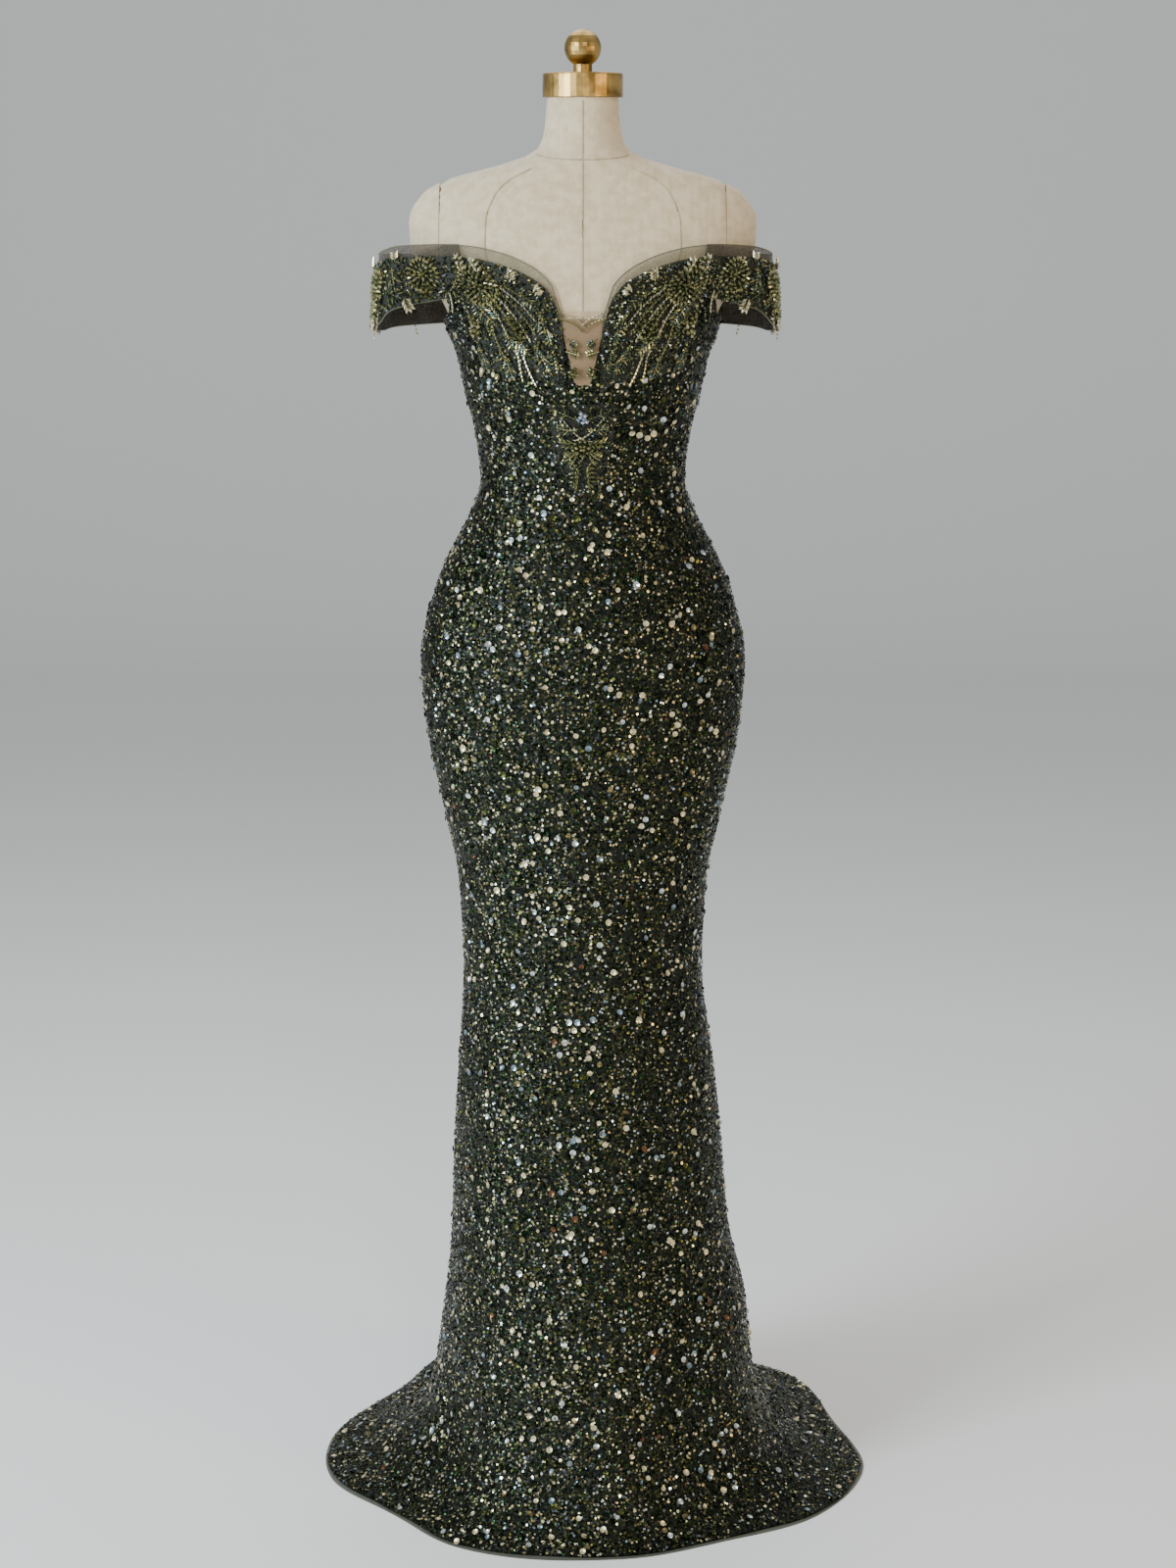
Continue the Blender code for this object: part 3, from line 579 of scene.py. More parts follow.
# ---------------------------------------------------------------- sequins and beads
def spangle_piece(name: str, points: np.ndarray, faces: list[list[int]], colours: np.ndarray,
                  finishes: Sequence[bpy.types.Material], smooth: bool = False) -> bpy.types.Object:
    """Joined mesh of many small things, each face with its own colour.

    Args:
        name: The piece's name.
        points: All points.
        faces: Point numbers of each face.
        colours: A slot number for each face.
        finishes: Materials in slot order.
        smooth: Whether the faces are shaded smooth.

    Returns:
        The piece.
    """
    piece = new_piece(name, points, faces, smooth=smooth)
    for finish in finishes:
        piece.data.materials.append(finish)
    piece.data.polygons.foreach_set("material_index", colours.astype(np.int32))
    LOG.info("%s: %d faces", name, len(faces))
    return piece


@dataclass(frozen=True)
class LaceCover:
    """Where the beaded lace covers the panels, so that no sequins are sewn. Angles are in degrees."""

    bust: tuple[float, float] = (7.0, 46.0)
    bust_low: float = 1.316
    bust_rise: float = 0.0012       # for each degree past bust_rise_from
    bust_rise_from: float = 22.0
    bust_wave: float = 0.004
    waist: float = 14.0
    waist_low: float = 1.180
    waist_rise: float = 0.050
    waist_top: float = 1.268

    def holds(self, place: np.ndarray) -> np.ndarray:
        """Which of some points lie under the lace."""
        angle = np.abs(np.degrees(np.arctan2(place[:, 0], -place[:, 1])))
        height = place[:, 2]
        start = self.bust_low + self.bust_rise * np.clip(angle - self.bust_rise_from, 0.0, 40.0)
        beside = (angle > self.bust[0]) & (angle < self.bust[1])
        bust = beside & (height > start + self.bust_wave * np.sin(angle))
        foot = self.waist_low + self.waist_rise * (angle / self.waist) ** 2
        return bust | ((angle < self.waist) & (height < self.waist_top) & (height > foot))


@dataclass(frozen=True)
class SequinKind:
    """One size of sequin and how it is sewn over the cloth."""

    per_m2: float
    radius: tuple[float, float]
    shares: tuple[float, ...]   # of each colour, in Spangle's order
    sides: int
    slope: float                # typical slope of a disc against the cloth
    lift: float                 # how far its middle stands off the cloth
    cup: float = 0.0            # depth of its middle as a share of its radius; a flat disc has none


@dataclass
class SequinSewing:
    """Three sizes of sequin over a panel: a close ground, scattered dots and larger cups."""

    lace: LaceCover = LaceCover()
    kinds: tuple[SequinKind, ...] = (
        SequinKind(88000.0, (0.0010, 0.0017), (0.42, 0.20, 0.20, 0.075, 0.05, 0.03, 0.025, 0.0),
                   sides=5, slope=0.34, lift=0.0011),
        SequinKind(4300.0, (0.0014, 0.0021), (0.0, 0.10, 0.20, 0.22, 0.32, 0.10, 0.05, 0.01),
                   sides=6, slope=0.26, lift=0.0018),
        SequinKind(1350.0, (0.0028, 0.0039), (0.04, 0.08, 0.10, 0.10, 0.34, 0.20, 0.11, 0.03),
                   sides=8, slope=0.20, lift=0.0026, cup=0.28))

    def discs(self, patch: Patch, kind: SequinKind) -> tuple[np.ndarray, list[list[int]], np.ndarray]:
        """Random discs on a patch, none of them under the lace.

        Args:
            patch: Where they are sewn.
            kind: Their size, number, colours and lie.

        Returns:
            Points, faces and the colour of each face.
        """
        u, v = patch.scatter(int(patch.cells().sum() * kind.per_m2))
        place, normal, across = patch.locate(u, v)
        bare = ~self.lace.holds(place)
        place, normal, across = place[bare], normal[bare], across[bare]
        count, sides = len(place), kind.sides
        rise = np.cross(normal, across)
        lean = RNG.normal(0.0, kind.slope, (count, 2))
        face = unit(normal + across * lean[:, :1] + rise * lean[:, 1:])
        first = unit(across - face * (across * face).sum(-1, keepdims=True))
        second = np.cross(face, first)
        size = RNG.uniform(*kind.radius, count)[:, None, None]
        turn = 2.0 * np.pi * np.arange(sides) / sides + RNG.random(count)[:, None] * 7.0
        middle = place + normal * kind.lift
        ring = middle[:, None] + size * (np.cos(turn)[..., None] * first[:, None]
                                         + np.sin(turn)[..., None] * second[:, None])
        colour = RNG.choice(len(kind.shares), size=count, p=np.asarray(kind.shares) / sum(kind.shares))
        if not kind.cup:
            faces = np.arange(count * sides).reshape(count, sides).tolist()
            return ring.reshape(-1, 3), faces, colour
        points = np.concatenate([ring, middle[:, None] - face[:, None] * size * kind.cup], axis=1)
        start = (np.arange(count) * (sides + 1))[:, None]
        k = np.arange(sides)
        hub = np.broadcast_to(start + sides, (count, sides))
        fan = np.stack([start + k, start + (k + 1) % sides, hub], -1)
        return points.reshape(-1, 3), fan.reshape(-1, 3).tolist(), np.repeat(colour, sides)

    def sew(self, name: str, patch: Patch, finishes: Sequence[bpy.types.Material]) -> bpy.types.Object:
        """Sews all three sizes over a patch.

        Args:
            name: The piece's name.
            patch: Where they are sewn.
            finishes: Finishes in Spangle's order.

        Returns:
            All the sequins as one piece.
        """
        points, faces, colours, used = [], [], [], 0
        for kind in self.kinds:
            group_points, group_faces, group_colours = self.discs(patch, kind)
            faces += [[i + used for i in face] for face in group_faces]
            points.append(group_points)
            colours.append(group_colours)
            used += len(group_points)
        return spangle_piece(name, np.concatenate(points), faces, np.concatenate(colours), finishes)


@dataclass(frozen=True)
class Bead:
    """A bead laid flat in a motif, in metres across and up from the motif's middle."""

    across: float
    up: float
    turn: float                 # its long side, in degrees from across
    length: float
    width: float
    colour: Spangle


class Motifs:
    """Ordinary lace motifs made of beads, each drawn round its own middle. Angles are in degrees."""

    RIB_BEAD, RIB_PITCH = 0.0026, 0.0036        # width of a stem's beads, and their pitch in a leaf
    VEIN_SLANT, VEIN_WIDTH = 48.0, 0.0032       # of the bugle beads on both sides of a leaf's rib
    TEAR_SLANT, TEAR_REACH = 38.0, 0.0046       # of the teardrops on both sides of a sprig
    RING_PITCH, RAY_PITCH = 0.0068, 0.0052      # between a sunburst's rings, and round one of them
    GRAPE = 0.0056                              # across one crystal of a cluster

    @classmethod
    def leaf(cls, length: float, turn: float, vein: Spangle, blade: Spangle) -> list[Bead]:
        """Leaf with a beaded midrib and bugle-bead veins on both sides.

        Args:
            length: Its length.
            turn: Where it points, from across.
            vein: Colour of its midrib.
            blade: Colour of most of its veins.

        Returns:
            Its beads.
        """
        beads = []
        steps = max(5, round(length / cls.RIB_PITCH))
        along = math.radians(turn)
        for k in range(steps):
            t = (k + 0.5) / steps
            x, y = math.cos(along) * t * length, math.sin(along) * t * length
            beads.append(Bead(x, y, turn, length / steps * 1.25, cls.RIB_BEAD, vein))
            reach = 0.34 * length * math.sin(math.pi * min(t * 1.08, 1.0)) ** 0.8
            if reach < 0.002:
                continue
            for side in (-1.0, 1.0):
                slant = along + side * math.radians(cls.VEIN_SLANT)
                half = reach / 2.0 + 0.0012
                beads.append(Bead(x + math.cos(slant) * half, y + math.sin(slant) * half, math.degrees(slant),
                                  reach * 1.15, cls.VEIN_WIDTH, blade if k % 3 else vein))
        return beads

    @classmethod
    def sprig(cls, length: float, turn: float, colour: Spangle, tip: Spangle) -> list[Bead]:
        """Thin stem with pairs of teardrops and one at its tip.

        Args:
            length: Its length.
            turn: Where it points, from across.
            colour: Colour of the stem.
            tip: Colour of the teardrops.

        Returns:
            Its beads.
        """
        beads, along, pairs = [], math.radians(turn), max(3, round(length / 0.008))
        for k in range(pairs):
            reach = length * (k + 1) / (pairs + 1)
            x, y = math.cos(along) * reach, math.sin(along) * reach
            beads.append(Bead(x, y, turn, length / pairs * 0.8, 0.0012, colour))
            for side in (-1.0, 1.0):
                slant = along + side * math.radians(cls.TEAR_SLANT)
                beads.append(Bead(x + math.cos(slant) * cls.TEAR_REACH, y + math.sin(slant) * cls.TEAR_REACH,
                                  math.degrees(slant), 0.0080, 0.0040, tip))
        beads.append(Bead(math.cos(along) * length, math.sin(along) * length, turn, 0.0075, 0.0036, tip))
        return beads

    @classmethod
    def sunburst(cls, radius: float, colour: Spangle, outer: Spangle) -> list[Bead]:
        """Rings of teardrops that point away from a round middle.

        Args:
            radius: Its radius.
            colour: Colour of its middle and most of its rings.
            outer: Colour of its last ring and of every fourth teardrop.

        Returns:
            Its beads.
        """
        beads = [Bead(0.0, 0.0, 0.0, 0.006, 0.006, colour)]
        rings = max(2, round(radius / cls.RING_PITCH))
        for ring in range(1, rings + 1):
            reach = radius * (ring - 0.25) / rings
            count = round(2.0 * math.pi * reach / cls.RAY_PITCH)
            for k in range(count):
                turn = 360.0 * (k + 0.5 * (ring % 2)) / count
                spot = math.radians(turn)
                shade = outer if ring == rings or k % 4 == 0 else colour
                beads.append(Bead(math.cos(spot) * reach, math.sin(spot) * reach, turn,
                                  radius / rings * 1.05, 0.0044, shade))
        return beads

    @classmethod
    def grapes(cls, radius: float, colour: Spangle, light: Spangle) -> list[Bead]:
        """Close cluster of round crystals.

        Args:
            radius: Its radius.
            colour: Colour of most of it.
            light: Colour of every fourth crystal.

        Returns:
            Its beads.
        """
        beads, golden = [], math.pi * (3.0 - math.sqrt(5.0))
        count = max(7, round((radius / 0.0029) ** 2))
        for k in range(count):
            reach, spot = radius * math.sqrt((k + 0.5) / count), golden * k
            beads.append(Bead(math.cos(spot) * reach, math.sin(spot) * reach * 1.15, 0.0, cls.GRAPE,
                              cls.GRAPE, light if k % 4 == 0 else colour))
        return beads

    @classmethod
    def stem(cls, bend: float, length: float, turn: float, colour: Spangle) -> list[Bead]:
        """Curved row of short bugle beads.

        Args:
            bend: How far it turns along its length.
            length: Its length.
            turn: Where it points at its start, from across.
            colour: Colour of its beads.

        Returns:
            Its beads.
        """
        beads, x, y = [], 0.0, 0.0
        steps = max(4, round(length / 0.0042))
        for k in range(steps):
            heading = math.radians(turn + bend * k / steps)
            step = length / steps
            x, y = x + math.cos(heading) * step, y + math.sin(heading) * step
            beads.append(Bead(x, y, math.degrees(heading), step * 1.35, cls.RIB_BEAD, colour))
        return beads


@dataclass
class BeadWork:
    """Gathers beads on a patch and joins them into one piece."""

    patch: Patch
    lift: float = 0.0004
    motif_lift: float = 0.0016
    overhang: tuple[float, float] = (-0.06, 1.16)      # lowest and highest place of a bead, by fraction
    places: list[tuple[float, float, Bead, float]] = field(default_factory=list)

    def put(self, u: float, v: float, beads: Sequence[Bead], mirrored: bool = False) -> None:
        """Lays a motif on the patch.

        Args:
            u: Its middle, as a fraction of the way round.
            v: Its middle, as a fraction of the way up.
            beads: Its beads.
            mirrored: Whether it and its place are turned over, left for right.
        """
        if mirrored:
            u = 1.0 - u
        for bead in beads:
            if mirrored:
                bead = Bead(-bead.across, bead.up, 180.0 - bead.turn, bead.length, bead.width, bead.colour)
            self.places.append((u, v, bead, self.motif_lift))

    def fill(self, per_m2: float, shares: Sequence[float], sizes: tuple[float, float] = (0.0026, 0.0054),
             keep: Callable[[np.ndarray, np.ndarray], np.ndarray] | None = None) -> None:
        """Scatters small beads over the patch between its motifs.

        Args:
            per_m2: How many to a square metre.
            shares: Share of each colour, in Spangle's order.
            sizes: Smallest and largest length.
            keep: Tells which places are used.
        """
        u, v = self.patch.scatter(int(per_m2 * self.patch.cells().sum()))
        if keep:
            kept = keep(u, v)
            u, v = u[kept], v[kept]
        shade = RNG.choice(len(shares), size=len(u), p=np.asarray(shares) / sum(shares))
        turn, size = RNG.uniform(0.0, 180.0, len(u)), RNG.uniform(*sizes, len(u))
        slim = RNG.uniform(0.45, 1.0, len(u))
        for row in zip(u, v, turn, size, slim, shade):
            self.places.append((row[0], row[1], Bead(0.0, 0.0, row[2], row[3], row[3] * row[4],
                                                     Spangle(int(row[5]))), self.lift))

    def sew(self, name: str, finishes: Sequence[bpy.types.Material]) -> bpy.types.Object:
        """Joins the gathered beads, each a six-sided crystal that tapers to both ends.

        Args:
            name: The piece's name.
            finishes: Finishes in Spangle's order.

        Returns:
            The piece.
        """
        n, m = self.patch.points.shape[:2]
        u = np.array([p[0] for p in self.places])
        v = np.array([p[1] for p in self.places])
        data = np.array([(p[2].across, p[2].up, p[2].turn, p[2].length, p[2].width) for p in self.places])
        colour = np.array([int(p[2].colour) for p in self.places])
        lift = np.array([p[3] for p in self.places])
        wide = np.linalg.norm(np.gradient(self.patch.points, axis=0), axis=-1) * (n - 1)
        tall = np.linalg.norm(np.gradient(self.patch.points, axis=1), axis=-1) * (m - 1)
        i = np.clip((u * (n - 1)).astype(int), 0, n - 1)
        j = np.clip((v * (m - 1)).astype(int), 0, m - 1)
        u2, v2 = u + data[:, 0] / wide[i, j], v + data[:, 1] / tall[i, j]
        kept = (u2 > 0.0) & (u2 < 1.0) & (v2 > self.overhang[0]) & (v2 < self.overhang[1])
        data, colour, lift, u2, v2 = data[kept], colour[kept], lift[kept, None], u2[kept], v2[kept]
        place, normal, across = self.patch.locate(u2, v2)
        rise = np.cross(normal, across)
        turn = np.radians(data[:, 2])[:, None]
        long = across * np.cos(turn) + rise * np.sin(turn)
        side = np.cross(normal, long)
        half, thick = data[:, 3:4] / 2.0, data[:, 4:5] / 2.0
        middle = place + normal * (lift + thick)
        count, sides = len(data), 6
        spin = 2.0 * np.pi * np.arange(sides) / sides
        ring = (middle[:, None] + thick[:, None] * (np.cos(spin)[None, :, None] * side[:, None]
                                                    + np.sin(spin)[None, :, None] * normal[:, None]))
        ends = [(middle - long * half)[:, None], (middle + long * half)[:, None]]
        points = np.concatenate([ring, *ends], axis=1)
        start = (np.arange(count) * (sides + 2))[:, None]
        k = np.arange(sides)
        foot = np.broadcast_to(start + sides, (count, sides))
        low = np.stack([start + (k + 1) % sides, start + k, foot], -1)
        high = np.stack([start + k, start + (k + 1) % sides, foot + 1], -1)
        faces = np.concatenate([low, high], axis=1).reshape(-1, 3).tolist()
        return spangle_piece(name, points, faces, np.repeat(colour, 2 * sides), finishes)


# ---------------------------------------------------------------- the gown's pieces
class Side(Enum):
    """Sides of the gown, as the viewer sees them."""

    LEFT = -1.0
    RIGHT = 1.0

    @property
    def word(self) -> str:
        """The side's name in piece names."""
        return self.name.lower()


def surface_patch(first: float, last: float, rows: Callable[[np.ndarray], np.ndarray], out: float = 0.0,
                  step: float = 2.0, trim: float = 0.06) -> Patch:
    """Patch of the gown's surface.

    Args:
        first: Its first angle.
        last: Its last angle.
        rows: Gives heights, columns by rows, for a column of angles.
        out: How far it stands off the surface.
        step: Degrees between columns.
        trim: Degrees left open at each seam.

    Returns:
        The patch.
    """
    angles = np.linspace(first + trim, last - trim, max(3, round((last - first) / step)) + 1)
    heights = rows(angles)
    return Patch(CUT.point(angles[:, None] + np.zeros_like(heights), heights, out))


def rows_between(low: Callable[[np.ndarray], np.ndarray], high: Callable[[np.ndarray], np.ndarray],
                 count: int) -> Callable[[np.ndarray], np.ndarray]:
    """Rows of a patch, evenly spaced from one edge to another.

    Args:
        low: Heights of the lower edge, for some angles.
        high: Heights of the upper edge.
        count: How many steps lie between them.

    Returns:
        A function that gives the rows for some angles.
    """
    def rows(angles: np.ndarray) -> np.ndarray:
        """Heights, columns by rows."""
        t = np.linspace(0.0, 1.0, count + 1)[None]
        return low(angles)[:, None] * (1.0 - t) + high(angles)[:, None] * t
    return rows


def level(height: float) -> Callable[[np.ndarray], np.ndarray]:
    """An edge that stays at one height."""
    return lambda angles: np.full_like(angles, height)


def cloth_edge(angles: np.ndarray) -> np.ndarray:
    """The sequinned cloth's upper edge."""
    return CUT.edge(angles, "cloth")


def tulle_edge(angles: np.ndarray) -> np.ndarray:
    """The tulle's upper edge."""
    return CUT.edge(angles, "tulle")


@dataclass
class SequinPanels:
    """Seven princess panels of sequinned net on a lining, whole from the neckline to the hem."""

    thick: float = 0.0020
    hem_rows: int = 10
    hem_top: float = 0.060
    row: float = 0.012
    neck_rows: int = 16
    seams: dict[str, tuple[float, float]] = field(default_factory=lambda: {
        "front_centre": (-32.0, 32.0), "front_side_right": (32.0, 88.0), "front_side_left": (-88.0, -32.0),
        "back_side_right": (88.0, 144.0), "back_side_left": (-144.0, -88.0), "back_right": (144.0, 180.0),
        "back_left": (-180.0, -144.0)})

    def rows(self, angles: np.ndarray) -> np.ndarray:
        """Heights of a panel's rows: close at the hem, level to the waist, and up to the neckline."""
        t = (np.arange(self.hem_rows) / self.hem_rows) ** 1.5
        low = CUT.hem + (self.hem_top - CUT.hem) * t
        level_rows = np.arange(self.hem_top, CUT.waist_split - self.row / 2.0, self.row)
        both = np.concatenate([low, level_rows])
        t = np.linspace(0.0, 1.0, self.neck_rows + 1)[None]
        upper = CUT.waist_split + (cloth_edge(angles)[:, None] - CUT.waist_split) * t
        return np.concatenate([np.broadcast_to(both, (len(angles), len(both))), upper], axis=1)

    def build(self, ground: bpy.types.Material, finishes: Sequence[bpy.types.Material]) -> None:
        """Sews the panels and their sequins.

        Args:
            ground: Finish of the net.
            finishes: Finishes of the sequins, in Spangle's order.
        """
        sewing = SequinSewing()
        for name, (first, last) in self.seams.items():
            patch = surface_patch(first, last, self.rows)
            panel = sew_shell(f"panel_{name}", patch, self.thick, ground, [name])
            sequins = sewing.sew(f"sequins_{name}", patch, finishes)
            width, length, area = patch.flat()


@dataclass
class SheerPieces:
    """Nude mesh in the neckline's point, and tulle that stands above the sequinned cloth."""

    thick: float = 0.0010
    seam: float = 0.0003
    cord_radius: float = 0.0007
    front: tuple[float, float] = (8.0, 52.0)
    back: tuple[float, float] = (127.0, 180.0)
    inset: float = 8.0          # half of the inset's width, in degrees
    inset_top: float = 1.3645

    def build(self, nude: bpy.types.Material, tulle: bpy.types.Material, cord: bpy.types.Material) -> None:
        """Builds the inset, the four tulle strips and the fine cord along their edges.

        Args:
            nude: Finish of the inset.
            tulle: Finish of the strips.
            cord: Finish of the cord.
        """
        def above_cloth(angles: np.ndarray) -> np.ndarray:
            """Lower edge, a seam's gap above the sequinned cloth."""
            return cloth_edge(angles) + self.seam

        inset = surface_patch(-self.inset, self.inset, rows_between(above_cloth, level(self.inset_top), 10),
                              step=1.0)
        mesh = sew_shell("inset_nude_mesh", inset, self.thick, nude, ["neckline_inset"])
        self.declare(mesh, inset)
        for side in Side:
            for where, ends in (("front", self.front), ("back", self.back)):
                first, last = sorted(side.value * angle for angle in ends)
                strip = surface_patch(first, last, rows_between(above_cloth, tulle_edge, 4), step=1.5)
                shell = sew_shell(f"tulle_{where}_{side.word}", strip, self.thick, tulle,
                                  [f"sheer_edge_{where}_{side.word}"])
                self.declare(shell, strip)
                rib = strip.points[:, -1] - strip.normals[:, -1] * self.thick / 2.0
                thin_cord(f"edge_cord_{where}_{side.word}", rib, self.cord_radius, cord)

    @staticmethod
    def declare(piece: bpy.types.Object, patch: Patch) -> None:
        """Takes a piece and its patch, and does nothing with them."""


def thin_cord(name: str, line: np.ndarray, radius: float, material: bpy.types.Material,
              sides: int = 6) -> bpy.types.Object:
    """Sewn-down cord along a line of points.

    Args:
        name: The piece's name.
        line: Points along it.
        radius: Its radius.
        material: Its finish.
        sides: Sides of its section.

    Returns:
        The piece, closed at both ends.
    """
    along = unit(np.gradient(line, axis=0))
    helper = np.where(np.abs(along[:, 2:3]) > 0.9, [[0.0, 1.0, 0.0]], [[0.0, 0.0, 1.0]])
    first = unit(np.cross(helper, along))
    second = np.cross(along, first)
    spin = 2.0 * np.pi * np.arange(sides) / sides
    ring = line[:, None] + radius * (np.cos(spin)[None, :, None] * first[:, None]
                                     + np.sin(spin)[None, :, None] * second[:, None])
    number = np.arange(len(line) * sides).reshape(len(line), sides)
    ahead = np.roll(number, -1, axis=1)
    faces = np.stack([number[:-1], ahead[:-1], ahead[1:], number[1:]], -1).reshape(-1, 4).tolist()
    faces += [number[0, ::-1].tolist(), number[-1].tolist()]
    return new_piece(name, ring, faces, material)


@dataclass
class BodiceLace:
    """Beaded lace over both sides of the bust and in the middle of the waist."""

    laid_on: float = 0.0008
    net_thick: float = 0.0006
    bust: tuple[float, float] = (8.0, 52.0)
    above_edge: float = 0.003
    centre: float = 16.0
    centre_low: float = 1.172
    centre_top: float = 1.272
    bust_foot: float = 0.375        # height of its lower edge, as a share from waist to neckline
    inset_half: float = 12.0
    inset_rows: tuple[float, float] = (1.288, 1.372)
    bust_fill: tuple[float, ...] = (0.24, 0.22, 0.36, 0.12, 0.04, 0.0, 0.02, 0.0)
    waist_fill: tuple[float, ...] = (0.42, 0.22, 0.22, 0.10, 0.03, 0.0, 0.01, 0.0)
    bust_per_m2: float = 98000.0
    waist_per_m2: float = 46000.0

    def bust_side(self, side: Side, net: bpy.types.Material, finishes: Sequence[bpy.types.Material]) -> None:
        """Lace of one side, with its motifs.

        Args:
            side: Which side.
            net: Finish of the net that carries the beads.
            finishes: Finishes of the beads, in Spangle's order.
        """
        first, last = sorted(side.value * angle for angle in self.bust)

        def low(angles: np.ndarray) -> np.ndarray:
            """Lower edge of the lace."""
            return CUT.waist_split + (cloth_edge(angles) - CUT.waist_split) * self.bust_foot

        def high(angles: np.ndarray) -> np.ndarray:
            """Upper edge, just past the sequinned cloth."""
            return cloth_edge(angles) + self.above_edge

        patch = surface_patch(first, last, rows_between(low, high, 24), out=self.laid_on + self.net_thick,
                              step=1.0)
        name = f"lace_bust_{side.word}"
        shell = sew_shell(f"net_{name}", patch, self.net_thick, net, [name])
        work = BeadWork(patch)
        put = partial(work.put, mirrored=side is Side.LEFT)
        gold, olive, pale = Spangle.GOLD, Spangle.OLIVE, Spangle.CHAMPAGNE
        green, forest = Spangle.BOTTLE, Spangle.FOREST
        put(0.74, 0.76, Motifs.sunburst(0.024, olive, gold))
        put(0.44, 0.42, Motifs.grapes(0.0125, olive, gold))
        put(0.93, 0.40, Motifs.grapes(0.0100, gold, pale))
        for k in range(6):
            stem = Motifs.stem(26.0 - 3.0 * k, 0.052 + 0.004 * k, 196.0 + 9.0 * k, pale if k % 2 else gold)
            put(0.50 + 0.045 * k, 0.80 - 0.025 * k, stem)
        leaves = (
            (0.86, 0.62, 232.0, 0.036), (0.58, 0.36, 212.0, 0.034), (0.28, 0.34, 238.0, 0.030),
            (0.20, 0.66, 246.0, 0.030), (0.36, 0.78, 205.0, 0.026), (0.62, 0.16, 256.0, 0.026),
            (0.94, 0.22, 262.0, 0.026), (0.10, 0.40, 262.0, 0.024))
        for u, v, turn, size in leaves:
            put(u, v, Motifs.leaf(size, turn, gold, green))
            put(u, v, Motifs.leaf(size * 0.62, turn + 34.0, olive, forest))
        sprigs = ((0.66, 0.84, 78.0, 0.022), (0.84, 0.84, 96.0, 0.024), (0.42, 0.84, 110.0, 0.018),
                  (0.22, 0.82, 118.0, 0.015))
        for u, v, turn, size in sprigs:
            put(u, v, Motifs.sprig(size, turn, gold, pale))
        put(0.44, 0.30, Motifs.stem(-34.0, 0.062, 262.0, pale))
        put(0.47, 0.30, Motifs.stem(-20.0, 0.054, 274.0, gold))
        put(0.70, 0.44, Motifs.stem(-26.0, 0.050, 268.0, gold))

        def below_edge(u: np.ndarray, v: np.ndarray) -> np.ndarray:
            """Keeps beads below the neckline, and fewer of them towards the waist."""
            return (v < 0.99) & (RNG.random(len(v)) < 0.35 + 0.65 * np.clip(v * 2.4, 0.0, 1.0))

        work.fill(self.bust_per_m2, self.bust_fill, keep=below_edge)
        beads = work.sew(f"beads_bust_{side.word}", finishes)
        width, length, area = patch.flat()

    def waist(self, net: bpy.types.Material, finishes: Sequence[bpy.types.Material]) -> None:
        """Symmetrical motif in the middle of the waist.

        Args:
            net: Finish of the net that carries the beads.
            finishes: Finishes of the beads, in Spangle's order.
        """
        def low(angles: np.ndarray) -> np.ndarray:
            """Lower edge, pointed in the middle."""
            return self.centre_low + 0.05 * (np.abs(angles) / self.centre) ** 2

        patch = surface_patch(-self.centre, self.centre, rows_between(low, level(self.centre_top), 20),
                              out=self.laid_on + self.net_thick, step=1.0)
        shell = sew_shell("net_lace_waist", patch, self.net_thick, net, ["lace_waist"])
        work = BeadWork(patch)
        gold, olive, pale = Spangle.GOLD, Spangle.OLIVE, Spangle.CHAMPAGNE
        green, forest, silver = Spangle.BOTTLE, Spangle.FOREST, Spangle.SILVER
        work.put(0.5, 0.86, Motifs.grapes(0.0060, silver, Spangle.BLUE_GREY))
        for flip in (False, True):
            put = partial(work.put, mirrored=flip)
            put(0.56, 0.84, Motifs.leaf(0.026, 18.0, olive, forest))
            put(0.57, 0.74, Motifs.leaf(0.026, -22.0, gold, green))
            put(0.58, 0.60, Motifs.sprig(0.024, -38.0, gold, olive))
            put(0.60, 0.48, Motifs.leaf(0.024, -58.0, gold, olive))
            put(0.60, 0.36, Motifs.sprig(0.030, -84.0, gold, olive))
            put(0.57, 0.52, Motifs.grapes(0.0080, olive, gold))
            put(0.86, 0.86, Motifs.stem(-34.0, 0.042, 226.0, pale))
            put(0.92, 0.66, Motifs.stem(-26.0, 0.040, 232.0, gold))
            put(0.62, 0.26, Motifs.stem(8.0, 0.024, 266.0, olive))
        work.fill(self.waist_per_m2, self.waist_fill)
        beads = work.sew("beads_waist", finishes)
        width, length, area = patch.flat()

    def across_inset(self, finishes: Sequence[bpy.types.Material]) -> None:
        """Stems and crystals of both sides that meet over the nude mesh.

        Args:
            finishes: Finishes of the beads, in Spangle's order.
        """
        low, high = (level(height) for height in self.inset_rows)
        patch = surface_patch(-self.inset_half, self.inset_half, rows_between(low, high, 12),
                              out=self.net_thick, step=1.0)
        work = BeadWork(patch)
        gold, olive, pale = Spangle.GOLD, Spangle.OLIVE, Spangle.CHAMPAGNE
        for flip in (False, True):
            put = partial(work.put, mirrored=flip)
            put(0.86, 0.98, Motifs.stem(34.0, 0.026, 196.0, pale))
            put(0.90, 0.90, Motifs.stem(40.0, 0.028, 190.0, gold))
            put(0.80, 0.50, Motifs.leaf(0.016, 196.0, gold, olive))
            put(0.76, 0.66, Motifs.leaf(0.014, 222.0, olive, Spangle.BOTTLE))
            put(0.66, 0.22, Motifs.grapes(0.0050, olive, gold))
        beads = work.sew("beads_across_inset", finishes)
        LOG.info("%s meets over the nude mesh", beads.name)

